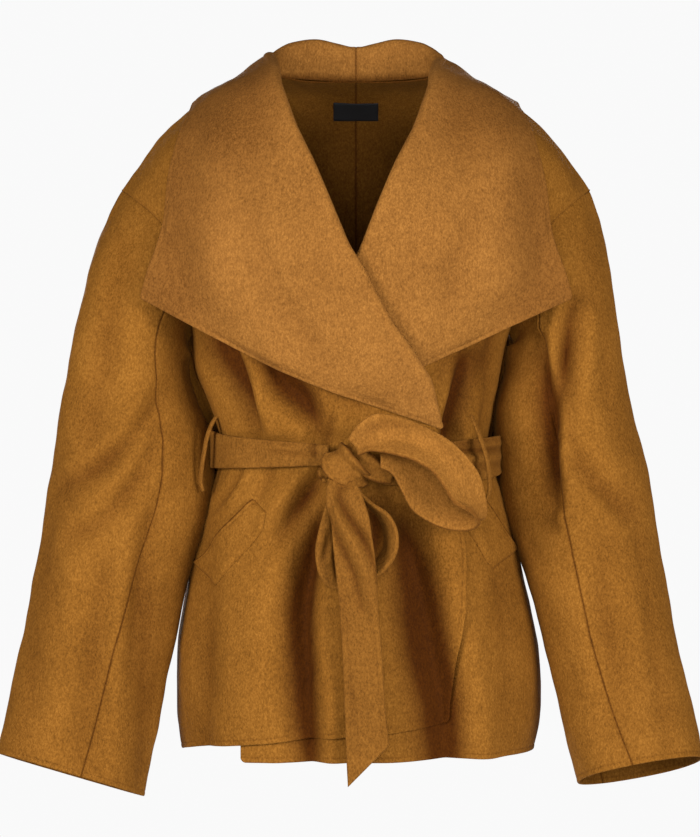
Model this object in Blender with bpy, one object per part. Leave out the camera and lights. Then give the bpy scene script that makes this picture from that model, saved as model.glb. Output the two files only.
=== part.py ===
"""A belted wool jacket in its worn, hollow form: wide shawl collar, dropped shoulders,
two-piece sleeves, slanted pocket welts and a tie belt knotted at the front.

Metres, +Z up. The wearer faces -Y, so the wearer's right side is at -X. The origin is the
middle of the neck, at the height where the shoulder seams meet the collar.
Every panel is one wall of cloth through sections that are worked out from the tables below.
"""

import math

import bpy
import numpy as np
from mathutils import Vector
from mathutils.bvhtree import BVHTree

WOOL = 0.0022  # one layer of double-faced wool
BELT_WOOL = 0.0040  # the belt is turned on itself, so it is two layers
SEAM_GAP = 0.0005  # between two panels that are sewn together
SLEEVE_GAP = 0.0028  # between the armhole and the sleeve's edge, which meet at an angle
LAYER_GAP = 0.0032  # between a panel and what lies on it
LAPEL_GAP = 0.0016  # between the front panel's edge and the collar's
NECK_GAP = 0.0036  # between the back neckline and the collar, which stands upright there

FRONT, BACK = -1, 1
RIGHT, LEFT = -1, 1  # the wearer's sides

# The body, from the hem up to the shoulder seam. The edge columns follow the side seam up to
# the armpit, and from there the armhole; the middle columns follow the centre.
BODY_COLUMNS = (
    "edge_z", "middle_z", "half_width", "shift_x",
    "front_y", "back_y", "edge_front_y", "edge_back_y", "back_fullness",
)
BODY_ROWS = (
    (-0.648, -0.648, 0.175, 0.002, -0.128, 0.122, 0.000, 0.000, 0.004),
    (-0.600, -0.600, 0.182, 0.003, -0.130, 0.124, 0.000, 0.000, 0.004),
    (-0.540, -0.540, 0.179, 0.002, -0.129, 0.122, 0.000, 0.000, 0.005),
    (-0.460, -0.460, 0.164, 0.000, -0.123, 0.112, 0.000, 0.000, 0.006),
    (-0.400, -0.400, 0.148, 0.001, -0.114, 0.101, 0.000, 0.000, 0.012),
    (-0.350, -0.350, 0.134, 0.000, -0.107, 0.091, 0.000, 0.000, 0.003),
    (-0.310, -0.310, 0.140, -0.003, -0.114, 0.097, 0.000, 0.000, 0.012),
    (-0.270, -0.270, 0.152, -0.007, -0.124, 0.108, 0.000, 0.000, 0.020),
    (-0.235, -0.235, 0.158, -0.006, -0.130, 0.116, 0.000, 0.000, 0.005),
    (-0.203, -0.180, 0.164, -0.003, -0.133, 0.120, -0.040, 0.043, 0.000),
    (-0.168, -0.110, 0.172, -0.001, -0.124, 0.118, -0.056, 0.062, 0.000),
    (-0.130, -0.040, 0.190, 0.000, -0.101, 0.106, -0.053, 0.058, 0.000),
    (-0.103, 0.010, 0.218, 0.000, -0.062, 0.070, -0.031, 0.036, 0.000),
    (-0.091, 0.028, 0.235, 0.000, 0.000, 0.000, 0.000, 0.000, 0.000),
)
ARMPIT_ROW, SHOULDER_ROW = 8, 13
LEFT_FULLNESS = 0.4  # of the back's fullness, which is more on the wearer's right
SQUARENESS = 0.13  # how far a section stands outside an ellipse at its corners
SHOULDER_POWER = 2.9  # how flat the shoulder seam stays before it falls to the armhole

# The hem of each panel, by how far round the front it is (-1 and 1 are the side seams).
HEM_AROUND = (-1.0, -0.7, -0.35, 0.0, 0.3, 0.7, 1.0)
HEM_Z = {
    RIGHT: (-0.648, -0.641, -0.634, -0.625, -0.617, -0.614, -0.614),
    LEFT: (-0.655, -0.653, -0.652, -0.651, -0.650, -0.648, -0.648),
}
HEM_FADE_ROWS = 4.0
RIDGE_ROWS = 0.6  # where the front and back turn level to meet in the shoulder seam

# The front edge of each front panel: the fold of the lapel above the belt, the free edge
# below it. The right front laps over the left one.
EDGE_Z = (
    -0.680, -0.615, -0.561, -0.512, -0.455, -0.420, -0.370, -0.345, -0.325, -0.281,
    -0.252, -0.231, -0.204, -0.176, -0.156, -0.114, -0.074, -0.040, 0.000, 0.030,
)
EDGE_X = {
    RIGHT: (
        0.095, 0.0955, 0.0985, 0.104, 0.106, 0.102, 0.095, 0.090, 0.084, 0.074,
        0.056, 0.040, 0.025, 0.0105, -0.003, -0.021, -0.039, -0.057, -0.0725, -0.076,
    ),
    LEFT: (
        -0.112, -0.112, -0.111, -0.110, -0.110, -0.108, -0.102, -0.095, -0.086, -0.072,
        -0.055, -0.040, -0.025, -0.011, 0.001, 0.018, 0.036, 0.055, 0.0705, 0.074,
    ),
}
ROLL_INSET = 0.0095  # from the fold of the lapel back to the front panel's own edge
BREAK_Z = -0.325  # where the lapel starts to fold back
OVERLAP_LIFT, UNDER_LIFT = 0.0030, -0.0020
LAPEL_LIFT = 0.0095  # the right front over the folded left lapel
NECK_BACK_Z = 0.022  # the back neckline at the centre

# The sleeves, from the armhole to the cuff: the outer and inner line seen from the front.
SLEEVE_COLUMNS = (
    "outer_x", "outer_z", "inner_x", "inner_z", "middle_y", "half_depth", "tilt", "twist",
)
SLEEVE_ROWS = {
    RIGHT: (
        (-0.235, -0.091, -0.173, -0.238, 0.002, 0.060, 0.00, 0.00),
        (-0.256, -0.134, -0.180, -0.248, 0.000, 0.066, 0.00, 0.03),
        (-0.270, -0.190, -0.177, -0.264, -0.003, 0.067, 0.00, 0.08),
        (-0.283, -0.253, -0.168, -0.300, -0.008, 0.066, 0.02, 0.10),
        (-0.294, -0.315, -0.157, -0.350, -0.014, 0.064, 0.04, 0.10),
        (-0.305, -0.385, -0.156, -0.413, -0.022, 0.062, 0.06, 0.06),
        (-0.315, -0.450, -0.170, -0.470, -0.030, 0.060, 0.09, 0.02),
        (-0.330, -0.533, -0.185, -0.560, -0.040, 0.056, 0.12, 0.00),
        (-0.345, -0.605, -0.199, -0.640, -0.050, 0.053, 0.14, 0.00),
        (-0.353, -0.648, -0.209, -0.690, -0.056, 0.052, 0.14, 0.00),
    ),
    LEFT: (
        (0.235, -0.091, 0.159, -0.237, 0.002, 0.060, 0.00, 0.00),
        (0.247, -0.134, 0.167, -0.247, 0.000, 0.066, 0.00, 0.03),
        (0.256, -0.190, 0.158, -0.262, -0.003, 0.067, 0.00, 0.08),
        (0.264, -0.253, 0.148, -0.300, -0.008, 0.067, 0.02, 0.10),
        (0.276, -0.315, 0.153, -0.350, -0.014, 0.066, 0.04, 0.08),
        (0.289, -0.375, 0.157, -0.405, -0.022, 0.063, 0.08, 0.08),
        (0.301, -0.445, 0.172, -0.465, -0.032, 0.060, 0.14, 0.03),
        (0.316, -0.534, 0.189, -0.548, -0.045, 0.057, 0.20, 0.00),
        (0.331, -0.605, 0.204, -0.625, -0.060, 0.055, 0.24, 0.00),
        (0.339, -0.653, 0.218, -0.675, -0.068, 0.055, 0.24, 0.00),
    ),
}
ARMHOLE_FADE_ROWS = 2.0
# The two seams of a sleeve, in turns round it from the outer line towards the front.
SLEEVE_FRONT_SEAM, SLEEVE_BACK_SEAM = 0.28, 0.66
SLEEVE_STEPS = np.array([0, 0.4, 1, 1.6, 2.5, 3.5, 4.6, 6, 7.5, 9])

# The collar, station by station: from the end of the lapel at the belt, up the front panel's
# edge (stations are the body's rows), and round the neck (stations above the shoulder row).
# The free edge is given for the wearer's right.
COLLAR_COLUMNS = ("station", "stand", "turn", "edge_x", "edge_y", "edge_z", "bow")
COLLAR_ROWS = (
    (5.60, 0.0020, 0.0030, -0.212, -0.082, -0.201, 0.012),
    (6.75, 0.0020, 0.0032, -0.205, -0.080, -0.176, 0.012),
    (7.80, 0.0020, 0.0034, -0.196, -0.076, -0.150, 0.010),
    (8.55, 0.0020, 0.0032, -0.188, -0.072, -0.120, 0.010),
    (9.35, 0.0020, 0.0038, -0.181, -0.064, -0.090, 0.010),
    (10.25, 0.0025, 0.0048, -0.174, -0.053, -0.060, 0.010),
    (11.00, 0.0035, 0.0055, -0.169, -0.042, -0.038, 0.010),
    (12.00, 0.0070, 0.0060, -0.163, -0.021, -0.018, 0.010),
    (13.00, 0.0150, 0.0060, -0.158, 0.012, -0.012, 0.010),
    (13.90, 0.0290, 0.0060, -0.148, 0.062, -0.044, 0.012),
    (15.00, 0.0350, 0.0060, -0.112, 0.101, -0.081, 0.014),
    (16.00, 0.0320, 0.0060, -0.062, 0.116, -0.097, 0.014),
    (17.00, 0.0270, 0.0060, -0.0004, 0.119, -0.102, 0.014),
)
FOLD_RIBS = 6  # the ribs' points up to the end of the fold
NECK_STATIONS = 4.0  # from the shoulder seam round the neck to the centre back
NECK_STEPS = np.array([0.3, 0.6, 0.9, 1.3, 1.8, 2.4, 3.2, 4.0])
COLLAR_CORE_Z = -0.10  # the line inside the shoulders that the collar is spread away from
FALL_STEPS = 8

# The belt round the waist, by quarter turns from the middle of the front round to the right.
BELT_COLUMNS = ("turn", "top_z", "bottom_z", "lift")
BELT_ROWS = (
    (0.10, -0.344, -0.364, 0.0120),
    (0.50, -0.337, -0.367, 0.0115),
    (1.00, -0.329, -0.368, 0.0090),
    (2.00, -0.330, -0.368, 0.0085),
    (3.00, -0.334, -0.371, 0.0090),
    (3.50, -0.339, -0.380, 0.0115),
    (3.90, -0.350, -0.383, 0.0120),
)

# Stretches of the tied belt, as the two edges of the strip.
STRIP_COLUMNS = ("a_x", "a_y", "a_z", "b_x", "b_y", "b_z")
BOW_ROWS = (
    (-0.008, -0.157, -0.338, 0.002, -0.160, -0.354),
    (0.001, -0.162, -0.325, 0.012, -0.170, -0.350),
    (0.018, -0.166, -0.314, 0.024, -0.178, -0.351),
    (0.041, -0.168, -0.317, 0.038, -0.184, -0.354),
    (0.063, -0.168, -0.325, 0.055, -0.188, -0.359),
    (0.092, -0.168, -0.342, 0.072, -0.192, -0.369),
    (0.115, -0.166, -0.368, 0.083, -0.194, -0.383),
    (0.123, -0.160, -0.392, 0.092, -0.194, -0.397),
    (0.125, -0.153, -0.408, 0.107, -0.189, -0.405),
    (0.121, -0.146, -0.415, 0.116, -0.180, -0.415),
    (0.113, -0.142, -0.411, 0.113, -0.169, -0.423),
    (0.101, -0.140, -0.397, 0.098, -0.160, -0.426),
    (0.088, -0.139, -0.381, 0.076, -0.155, -0.421),
    (0.071, -0.139, -0.366, 0.054, -0.152, -0.407),
    (0.054, -0.140, -0.355, 0.043, -0.151, -0.388),
    (0.036, -0.142, -0.350, 0.034, -0.151, -0.372),
    (0.022, -0.145, -0.348, 0.023, -0.151, -0.366),
)
LOW_LOOP_ROWS = (
    (0.004, -0.138, -0.388, 0.004, -0.150, -0.390),
    (0.016, -0.137, -0.399, 0.017, -0.153, -0.401),
    (0.030, -0.137, -0.409, 0.031, -0.157, -0.411),
    (0.037, -0.137, -0.425, 0.038, -0.160, -0.427),
    (0.036, -0.137, -0.446, 0.037, -0.160, -0.448),
    (0.025, -0.137, -0.464, 0.025, -0.158, -0.466),
    (0.006, -0.137, -0.474, 0.004, -0.155, -0.478),
    (-0.014, -0.137, -0.474, -0.018, -0.153, -0.479),
    (-0.029, -0.137, -0.462, -0.034, -0.151, -0.465),
    (-0.033, -0.137, -0.440, -0.038, -0.150, -0.440),
    (-0.031, -0.137, -0.418, -0.036, -0.149, -0.416),
    (-0.023, -0.138, -0.398, -0.029, -0.148, -0.394),
)
TAIL_ROWS = (
    (-0.026, -0.153, -0.386, -0.002, -0.157, -0.388),
    (-0.028, -0.157, -0.400, 0.006, -0.164, -0.400),
    (-0.024, -0.160, -0.420, 0.012, -0.168, -0.418),
    (-0.021, -0.162, -0.452, 0.017, -0.169, -0.450),
    (-0.016, -0.159, -0.500, 0.021, -0.164, -0.500),
    (-0.013, -0.152, -0.550, 0.025, -0.155, -0.550),
    (-0.011, -0.148, -0.600, 0.028, -0.150, -0.598),
    (-0.010, -0.147, -0.634, 0.031, -0.148, -0.626),
    (-0.008, -0.146, -0.672, 0.032, -0.147, -0.632),
)
UNDER_TAIL_ROWS = (
    (-0.012, -0.1440, -0.398, 0.002, -0.1440, -0.400),
    (-0.016, -0.1365, -0.425, 0.008, -0.1365, -0.425),
    (-0.015, -0.1315, -0.465, 0.013, -0.1315, -0.465),
    (-0.014, -0.1340, -0.510, 0.016, -0.1340, -0.510),
    (-0.012, -0.1385, -0.570, 0.020, -0.1385, -0.566),
    (-0.012, -0.1395, -0.604, 0.020, -0.1395, -0.572),
)
KNOT_CENTRE = (-0.008, -0.1405, -0.362)
KNOT_HALF = (0.0265, 0.0115, 0.0215)

# The pocket welts, on the panel, as seen from the front: the slanted top edge, and how deep
# the welt is along it.
WELT_ENDS = {
    RIGHT: ((-0.0995, -0.397), (-0.1600, -0.462)),
    LEFT: ((0.122, -0.392), (0.160, -0.449)),
}
WELT_PARTS = (0.0, 0.16, 0.85, 1.0)
WELT_DEPTHS = (0.020, 0.030, 0.031, 0.029)

# The belt carriers: narrow rounded bands that stand off the side of the waist.
CARRIER_COLUMNS = ("x", "y", "z")
CARRIER_ROWS = {
    RIGHT: (
        (-0.1385, -0.052, -0.307), (-0.1425, -0.055, -0.318), (-0.1465, -0.057, -0.334),
        (-0.1495, -0.058, -0.352), (-0.1520, -0.057, -0.368), (-0.1530, -0.055, -0.380),
        (-0.1510, -0.052, -0.391),
    ),
    LEFT: (
        (0.1120, -0.092, -0.315), (0.1165, -0.097, -0.326), (0.1215, -0.0995, -0.340),
        (0.1265, -0.0985, -0.356), (0.1295, -0.0955, -0.374), (0.1300, -0.092, -0.388),
        (0.1270, -0.088, -0.399),
    ),
}
CARRIER_RADIUS = 0.0030
CARRIER_STEPS = 13

LABEL_SIZE = (0.046, 0.018, 0.0006)
LABEL_DROP = 0.016  # from the back neckline to the top of the label

WOOL_COLOR = (0.34, 0.16, 0.045, 1.0)
BELT_COLOR = (0.40, 0.20, 0.065, 1.0)
LABEL_COLOR = (0.012, 0.012, 0.013, 1.0)
WOOL_ROUGHNESS, LABEL_ROUGHNESS = 0.95, 0.6


def clear_scene():
    for leftover in list(bpy.data.objects):
        bpy.data.objects.remove(leftover, do_unlink=True)


def material(name, color, roughness):
    made = bpy.data.materials.new(name)
    made.use_nodes = True
    shader = made.node_tree.nodes["Principled BSDF"]
    shader.inputs["Base Color"].default_value = color
    shader.inputs["Roughness"].default_value = roughness
    shader.inputs["Metallic"].default_value = 0.0
    return made


# Reading the tables


def columns(names, rows):
    return {name: np.array([row[i] for row in rows]) for i, name in enumerate(names)}


def follow(values, place):
    """A column's value at a place counted in rows, on a smooth curve through its rows."""
    values = np.asarray(values, float)
    place = np.clip(np.asarray(place, float), 0, len(values) - 1)
    row = np.minimum(place.astype(int), len(values) - 2)
    part = place - row
    first, second = values[row], values[row + 1]
    before = np.where(row > 0, values[np.maximum(row - 1, 0)], 2 * first - second)
    last = len(values) - 1
    after = np.where(row + 2 <= last, values[np.minimum(row + 2, last)], 2 * second - first)
    slope_in, slope_out = (second - before) / 2, (after - first) / 2
    rise = second - first
    return (
        first
        + slope_in * part
        + (3 * rise - 2 * slope_in - slope_out) * part**2
        + (slope_in + slope_out - 2 * rise) * part**3
    )


def smooth_step(value):
    value = np.clip(value, 0, 1)
    return value * value * (3 - 2 * value)


BODY = columns(BODY_COLUMNS, BODY_ROWS)
SLEEVES = {side: columns(SLEEVE_COLUMNS, rows) for side, rows in SLEEVE_ROWS.items()}
COLLAR = columns(COLLAR_COLUMNS, COLLAR_ROWS)
NECK_X = 0.080  # where the collar passes the shoulder seam


# The form of the body


def section(around):
    """Across and forward on a section of unit size, for -1 to 1 from side to side."""
    angle = np.asarray(around) * math.pi / 2
    wide = np.sin(angle) * (1 + SQUARENESS * np.cos(angle) ** 2)
    deep = np.cos(angle) * (1 + SQUARENESS * np.sin(angle) ** 2)
    return wide, deep


AROUND_STEPS = np.linspace(-1, 1, 401)
WIDE_STEPS = section(AROUND_STEPS)[0]


def body_point(face, around, row, lift=0.0, hem=None):
    """Points on the body's outer surface, moved out by lift along its normal."""
    points = body_surface(face, around, row, hem)
    if np.any(lift):
        points = points + body_normal(face, around, row, hem) * np.asarray(lift)[..., None]
    return points


def body_surface(face, around, row, hem=None):
    around, row = np.broadcast_arrays(np.asarray(around, float), np.asarray(row, float))
    wide, deep = section(around)
    name = "front" if face == FRONT else "back"
    edge_y = follow(BODY[f"edge_{name}_y"], row) * (row > ARMPIT_ROW)
    middle_y = follow(BODY[f"{name}_y"], row)
    middle_z, edge_z = follow(BODY["middle_z"], row), follow(BODY["edge_z"], row)
    x = follow(BODY["half_width"], row) * wide + follow(BODY["shift_x"], row) * wide**2
    if face == BACK:
        full = follow(BODY["back_fullness"], row) * np.where(around < 0, 1, LEFT_FULLNESS)
        x = x + full * np.sign(around) * np.sin(math.pi * around**3) ** 2
    y = edge_y + (middle_y - edge_y) * deep
    z = middle_z + (edge_z - middle_z) * np.abs(wide) ** SHOULDER_POWER
    if hem is not None:
        fade = np.clip(1 - row / HEM_FADE_ROWS, 0, 1) ** 2
        z = z + (np.interp(around, HEM_AROUND, HEM_Z[hem]) - BODY_ROWS[0][0]) * fade
    return np.stack([x, y, z], axis=-1)


def body_normal(face, around, row, hem=None):
    step = 0.004
    around, row = np.broadcast_arrays(np.asarray(around, float), np.asarray(row, float))
    low, high = np.clip(row - step, 0, None), np.clip(row + step, None, SHOULDER_ROW)
    across = body_surface(face, around + step, row, hem) - body_surface(
        face, around - step, row, hem
    )
    along = body_surface(face, around, high, hem) - body_surface(face, around, low, hem)
    normal = unit(np.cross(across, along) * -face)
    normal[..., 1] *= np.clip((SHOULDER_ROW - row) / RIDGE_ROWS, 0, 1)
    return unit(normal)


def unit(vectors):
    return vectors / np.maximum(np.linalg.norm(vectors, axis=-1, keepdims=True), 1e-12)


def around_at(x, row):
    """How far round a section passes a given x."""
    half, shift = follow(BODY["half_width"], row), follow(BODY["shift_x"], row)
    wide = 2 * x / (half + np.sqrt(np.maximum(half**2 + 4 * shift * x, 0)))
    return np.interp(wide, WIDE_STEPS, AROUND_STEPS)


def place_on_body(face, x, z):
    """How far round, and at which row, the body's surface passes a point seen from the front."""
    x, z = np.broadcast_arrays(np.asarray(x, float), np.asarray(z, float))
    low, high = np.zeros(x.shape), np.full(x.shape, float(SHOULDER_ROW))
    for _ in range(40):
        row = (low + high) / 2
        around = around_at(x, row)
        below = body_surface(face, around, row)[..., 2] < z
        low, high = np.where(below, row, low), np.where(below, high, row)
    return around, row


def front_edge(side, row):
    """How far round the front the panel's edge is, row by row."""
    around = np.zeros(np.shape(row))
    for _ in range(30):
        z = body_surface(FRONT, around, row)[..., 2]
        fold = np.interp(z, EDGE_Z, EDGE_X[side])
        inset = ROLL_INSET * smooth_step((z - BREAK_Z + 0.02) / 0.02)
        x = fold + side * (inset + SEAM_GAP * (inset > 0))
        around = (around + around_at(x, row)) / 2
    return around


def front_lift(side, around, row):
    """How far a front panel stands off the form where the two fronts lap over each other."""
    points = body_surface(FRONT, around, row)
    x, z = points[..., 0], points[..., 2]
    if side == LEFT:
        reach = smooth_step((0.135 - x) / 0.030)
        return UNDER_LIFT * reach
    over_front = smooth_step((x + 0.150) / 0.035)
    fold = np.interp(z, EDGE_Z, EDGE_X[LEFT])
    over_lapel = smooth_step((x - fold + 0.045) / 0.030) * smooth_step((z + 0.345) / 0.020)
    return OVERLAP_LIFT * over_front + (LAPEL_LIFT - OVERLAP_LIFT) * over_lapel


# Solids


def grid_faces(rows, cols):
    return [
        (i * cols + j, i * cols + j + 1, (i + 1) * cols + j + 1, (i + 1) * cols + j)
        for i in range(rows - 1)
        for j in range(cols - 1)
    ]


def signed_volume(points, faces):
    total = 0.0
    for face in faces:
        first = points[face[0]]
        for second, third in zip(face[1:-1], face[2:]):
            total += np.dot(first, np.cross(points[second], points[third]))
    return total


def add_solid(name, points, faces, finish):
    points = np.asarray(points)
    if signed_volume(points, faces) < 0:
        faces = [tuple(reversed(face)) for face in faces]
    mesh = bpy.data.meshes.new(name)
    mesh.from_pydata([tuple(point) for point in points.tolist()], [], faces)
    mesh.update()
    made = bpy.data.objects.new(name, mesh)
    bpy.context.scene.collection.objects.link(made)
    mesh.materials.append(finish)
    mesh.shade_smooth()
    mesh.set_sharp_from_angle(angle=math.radians(50))
    return made


def sheet_normals(points):
    return unit(np.cross(np.gradient(points, axis=0), np.gradient(points, axis=1)))


def add_sheet(name, points, normals, wall, finish, outside=0.0):
    """A wall of cloth: the grid of points moved out by outside, and in by the rest."""
    rows, cols = points.shape[:2]
    outer = points + normals * outside
    inner = points - normals * (wall - outside)
    count = rows * cols
    faces = grid_faces(rows, cols)
    faces += [tuple(corner + count for corner in reversed(face)) for face in faces]
    rim = list(range(cols))
    rim += [i * cols + cols - 1 for i in range(1, rows)]
    rim += [(rows - 1) * cols + j for j in range(cols - 2, -1, -1)]
    rim += [i * cols for i in range(rows - 2, 0, -1)]
    for here, after in zip(rim, rim[1:] + rim[:1]):
        faces.append((here, here + count, after + count, after))
    return add_solid(
        name, np.concatenate([outer.reshape(-1, 3), inner.reshape(-1, 3)]), faces, finish
    )


# Panels

BODY_STEPS = np.array(
    [0, 1.6, 3, 4.2, 5, 5.6, 6.3, 7, 7.6, 8, 8.5, 9, 9.6, 10.2, 10.8, 11.4, 12, 12.5, 13]
)
SIDE_TRIM, RIDGE_TRIM, CENTRE_TRIM, SLEEVE_TRIM = 0.0035, 0.008, 0.001, 0.0012


def add_front(side, finish):
    rows = np.minimum(BODY_STEPS, SHOULDER_ROW - RIDGE_TRIM)
    start = front_edge(side, rows)
    part = np.linspace(0, 1, 12 if side == RIGHT else 10)
    stop = side * (1 - SIDE_TRIM)
    around = start[:, None] + (stop - start[:, None]) * part[None, :]
    row = np.broadcast_to(rows[:, None], around.shape)
    lift = front_lift(side, around, row)
    points = body_point(FRONT, around, row, lift, side)
    normals = body_normal(FRONT, around, row, side)
    name = "front_right" if side == RIGHT else "front_left"
    return add_sheet(name, points, normals, WOOL, finish)


NECK_AROUND = float(
    np.interp(NECK_X / BODY_ROWS[SHOULDER_ROW][2], WIDE_STEPS, AROUND_STEPS)
)
BACK_STEPS = np.concatenate(
    [
        NECK_AROUND * (1 - NECK_STEPS[::-1] / NECK_STATIONS),
        np.linspace(NECK_AROUND, 1 - SIDE_TRIM, 7),
    ]
)


def back_top(around):
    """The row of the back panel's upper edge: the shoulder seam, and the neckline inside it."""
    _, neck_row = place_on_body(BACK, 0.0, NECK_BACK_Z)
    inside = np.clip(np.abs(around) / NECK_AROUND, 0, 1)
    return neck_row + (SHOULDER_ROW - RIDGE_TRIM - neck_row) * inside**2.5


def add_back(side, finish):
    around = side * np.maximum(BACK_STEPS, CENTRE_TRIM)[None, :]
    below = BODY_STEPS[BODY_STEPS <= ARMPIT_ROW]
    above = (BODY_STEPS[BODY_STEPS > ARMPIT_ROW] - ARMPIT_ROW) / (SHOULDER_ROW - ARMPIT_ROW)
    top = back_top(around)
    upper = ARMPIT_ROW + (top - ARMPIT_ROW) * above[:, None]
    row = np.concatenate([np.broadcast_to(below[:, None], (len(below), around.size)), upper])
    around = np.broadcast_to(around, row.shape)
    points = body_point(BACK, around, row)
    normals = body_normal(BACK, around, row)
    name = "back_right" if side == RIGHT else "back_left"
    return add_sheet(name, points, normals, WOOL, finish)


def armhole_point(side, turn):
    """The armhole, by turns from the shoulder down the front to the armpit and up the back."""
    row = SHOULDER_ROW - (SHOULDER_ROW - ARMPIT_ROW) * (1 - np.abs(1 - 2 * turn))
    edge = np.full(row.shape, float(side))
    at_front = body_surface(FRONT, edge, row)
    at_back = body_surface(BACK, edge, row)
    return np.where((turn < 0.5)[..., None], at_front, at_back)


def sleeve_ring(side, turn, row):
    table = SLEEVES[side]
    angle = 2 * math.pi * turn
    wide = np.cos(angle) * (1 + SQUARENESS / 2 * np.sin(angle) ** 2)
    deep = np.sin(angle) * (1 + SQUARENESS / 2 * np.cos(angle) ** 2)
    outer = np.stack([follow(table["outer_x"], row), follow(table["outer_z"], row)], -1)
    inner = np.stack([follow(table["inner_x"], row), follow(table["inner_z"], row)], -1)
    flat = (outer + inner) / 2 + (outer - inner) / 2 * wide[..., None]
    forward = -follow(table["half_depth"], row) * deep
    y = follow(table["middle_y"], row) + forward
    z = flat[..., 1] - follow(table["tilt"], row) * forward
    x = flat[..., 0] - side * follow(table["twist"], row) * forward
    return np.stack([x, y, z], axis=-1)


def sleeve_point(side, turn, row):
    """Points on a sleeve: rings round the arm that grow out of the armhole's own line."""
    turn, row = np.broadcast_arrays(np.asarray(turn, float), np.asarray(row, float))
    turn = np.mod(turn, 1.0)
    first = np.zeros(row.shape)
    from_armhole = armhole_point(side, turn) - sleeve_ring(side, turn, first)
    away = np.array([side * 0.7, 0.0, -0.7]) * SLEEVE_GAP
    weight = 1 - smooth_step(row / ARMHOLE_FADE_ROWS)
    return sleeve_ring(side, turn, row) + (from_armhole + away) * weight[..., None]


def add_sleeve(side, upper, finish):
    last = len(SLEEVE_ROWS[side]) - 1
    armhole_rows = BODY_STEPS[BODY_STEPS >= ARMPIT_ROW]
    down = (SHOULDER_ROW - armhole_rows) / (SHOULDER_ROW - ARMPIT_ROW) / 2
    turns = np.unique(np.round(np.concatenate([-down, down, 1 - down]), 6))
    start, stop = SLEEVE_FRONT_SEAM, SLEEVE_BACK_SEAM
    if upper:
        start, stop = SLEEVE_BACK_SEAM - 1, SLEEVE_FRONT_SEAM
    between = turns[(turns > start + SLEEVE_TRIM * 8) & (turns < stop - SLEEVE_TRIM * 8)]
    turns = np.concatenate([[start + SLEEVE_TRIM], between, [stop - SLEEVE_TRIM]])
    turn, row = np.meshgrid(turns, SLEEVE_STEPS)
    points = sleeve_point(side, turn, row)
    step = 0.003
    around = sleeve_point(side, turn + step, row) - sleeve_point(side, turn - step, row)
    low, high = np.clip(row - step, 0, None), np.clip(row + step, None, last)
    along = sleeve_point(side, turn, high) - sleeve_point(side, turn, low)
    normals = unit(np.cross(along, around) * side)
    name = "sleeve_right" if side == RIGHT else "sleeve_left"
    name += "_upper" if upper else "_under"
    return add_sheet(name, points, normals, WOOL, finish)


# The collar


def collar_stations():
    front = BODY_STEPS[BODY_STEPS >= COLLAR_ROWS[0][0]]
    return np.concatenate([front, SHOULDER_ROW + NECK_STEPS])


def collar_seam(side, stations):
    """Where the collar is sewn on: the front panel's edge, then the back neckline."""
    front = stations <= SHOULDER_ROW
    rows = np.minimum(stations[front], SHOULDER_ROW - RIDGE_TRIM)
    at_front = front_edge(side, rows)
    lift = front_lift(side, at_front, rows) - WOOL / 2
    part = 1 - (stations[~front] - SHOULDER_ROW) / NECK_STATIONS
    at_back = side * NECK_AROUND * part
    back_rows = back_top(at_back)
    points = np.concatenate(
        [
            body_point(FRONT, at_front, rows, lift, side),
            body_point(BACK, at_back, back_rows, -WOOL / 2),
        ]
    )
    normals = np.concatenate(
        [body_normal(FRONT, at_front, rows, side), body_normal(BACK, at_back, back_rows)]
    )
    return points, normals


def collar_ribs(side, stations):
    """The collar's middle surface: ribs from its seam, over the fold, to the free edge."""
    place = np.interp(stations, COLLAR["station"], np.arange(len(COLLAR_ROWS)))
    row = {name: follow(COLLAR[name], place) for name in COLLAR_COLUMNS}
    seam, outward = collar_seam(side, stations)
    along = unit(np.gradient(seam, axis=0))
    rise = unit(np.cross(along, outward) * -side)
    upright = smooth_step((row["stand"] - 0.002) / 0.016)[:, None]
    rise = unit(rise * (1 - upright) + np.array([0.0, 0.0, 1.0]) * upright)
    outward = unit(outward - rise * np.sum(outward * rise, axis=1, keepdims=True))
    for _ in range(2):
        rise, outward = blurred(rise), blurred(outward)
    at_neck = np.clip(stations - SHOULDER_ROW + 1, 0, 1)[:, None]
    gap = LAPEL_GAP + (NECK_GAP - LAPEL_GAP) * at_neck
    stand = row["stand"][:, None]
    top = seam + rise * (gap + stand)
    ribs = [seam + rise * gap, seam + rise * (gap + stand / 2)]
    for degrees in (0, 60, 120, 180):
        angle = math.radians(degrees)
        lean = rise * math.sin(angle) + outward * (1 - math.cos(angle))
        ribs.append(top + lean * row["turn"][:, None])
    start = ribs[-1]
    free = np.stack([row["edge_x"] * -side, row["edge_y"], row["edge_z"]], axis=1)
    middle = (start + free) / 2
    core = np.stack(
        [middle[:, 0] * 0.75, middle[:, 1] * 0, np.minimum(middle[:, 2], COLLAR_CORE_Z)], 1
    )
    bulge = unit(middle - core) * row["bow"][:, None]
    for part in np.linspace(0, 1, FALL_STEPS + 1)[1:]:
        straight = start * (1 - part) + free * part
        ribs.append(straight + bulge * 4 * part * (1 - part))
    return np.stack(ribs, axis=1)


def blurred(vectors):
    padded = np.concatenate([vectors[:1], vectors, vectors[-1:]])
    return unit(padded[:-2] + 2 * vectors + padded[2:])


def tree_of(objects):
    points, faces = [], []
    for made in objects:
        base = len(points)
        points += [vertex.co.copy() for vertex in made.data.vertices]
        faces += [tuple(base + i for i in face.vertices) for face in made.data.polygons]
    return BVHTree.FromPolygons(points, faces)


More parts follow.
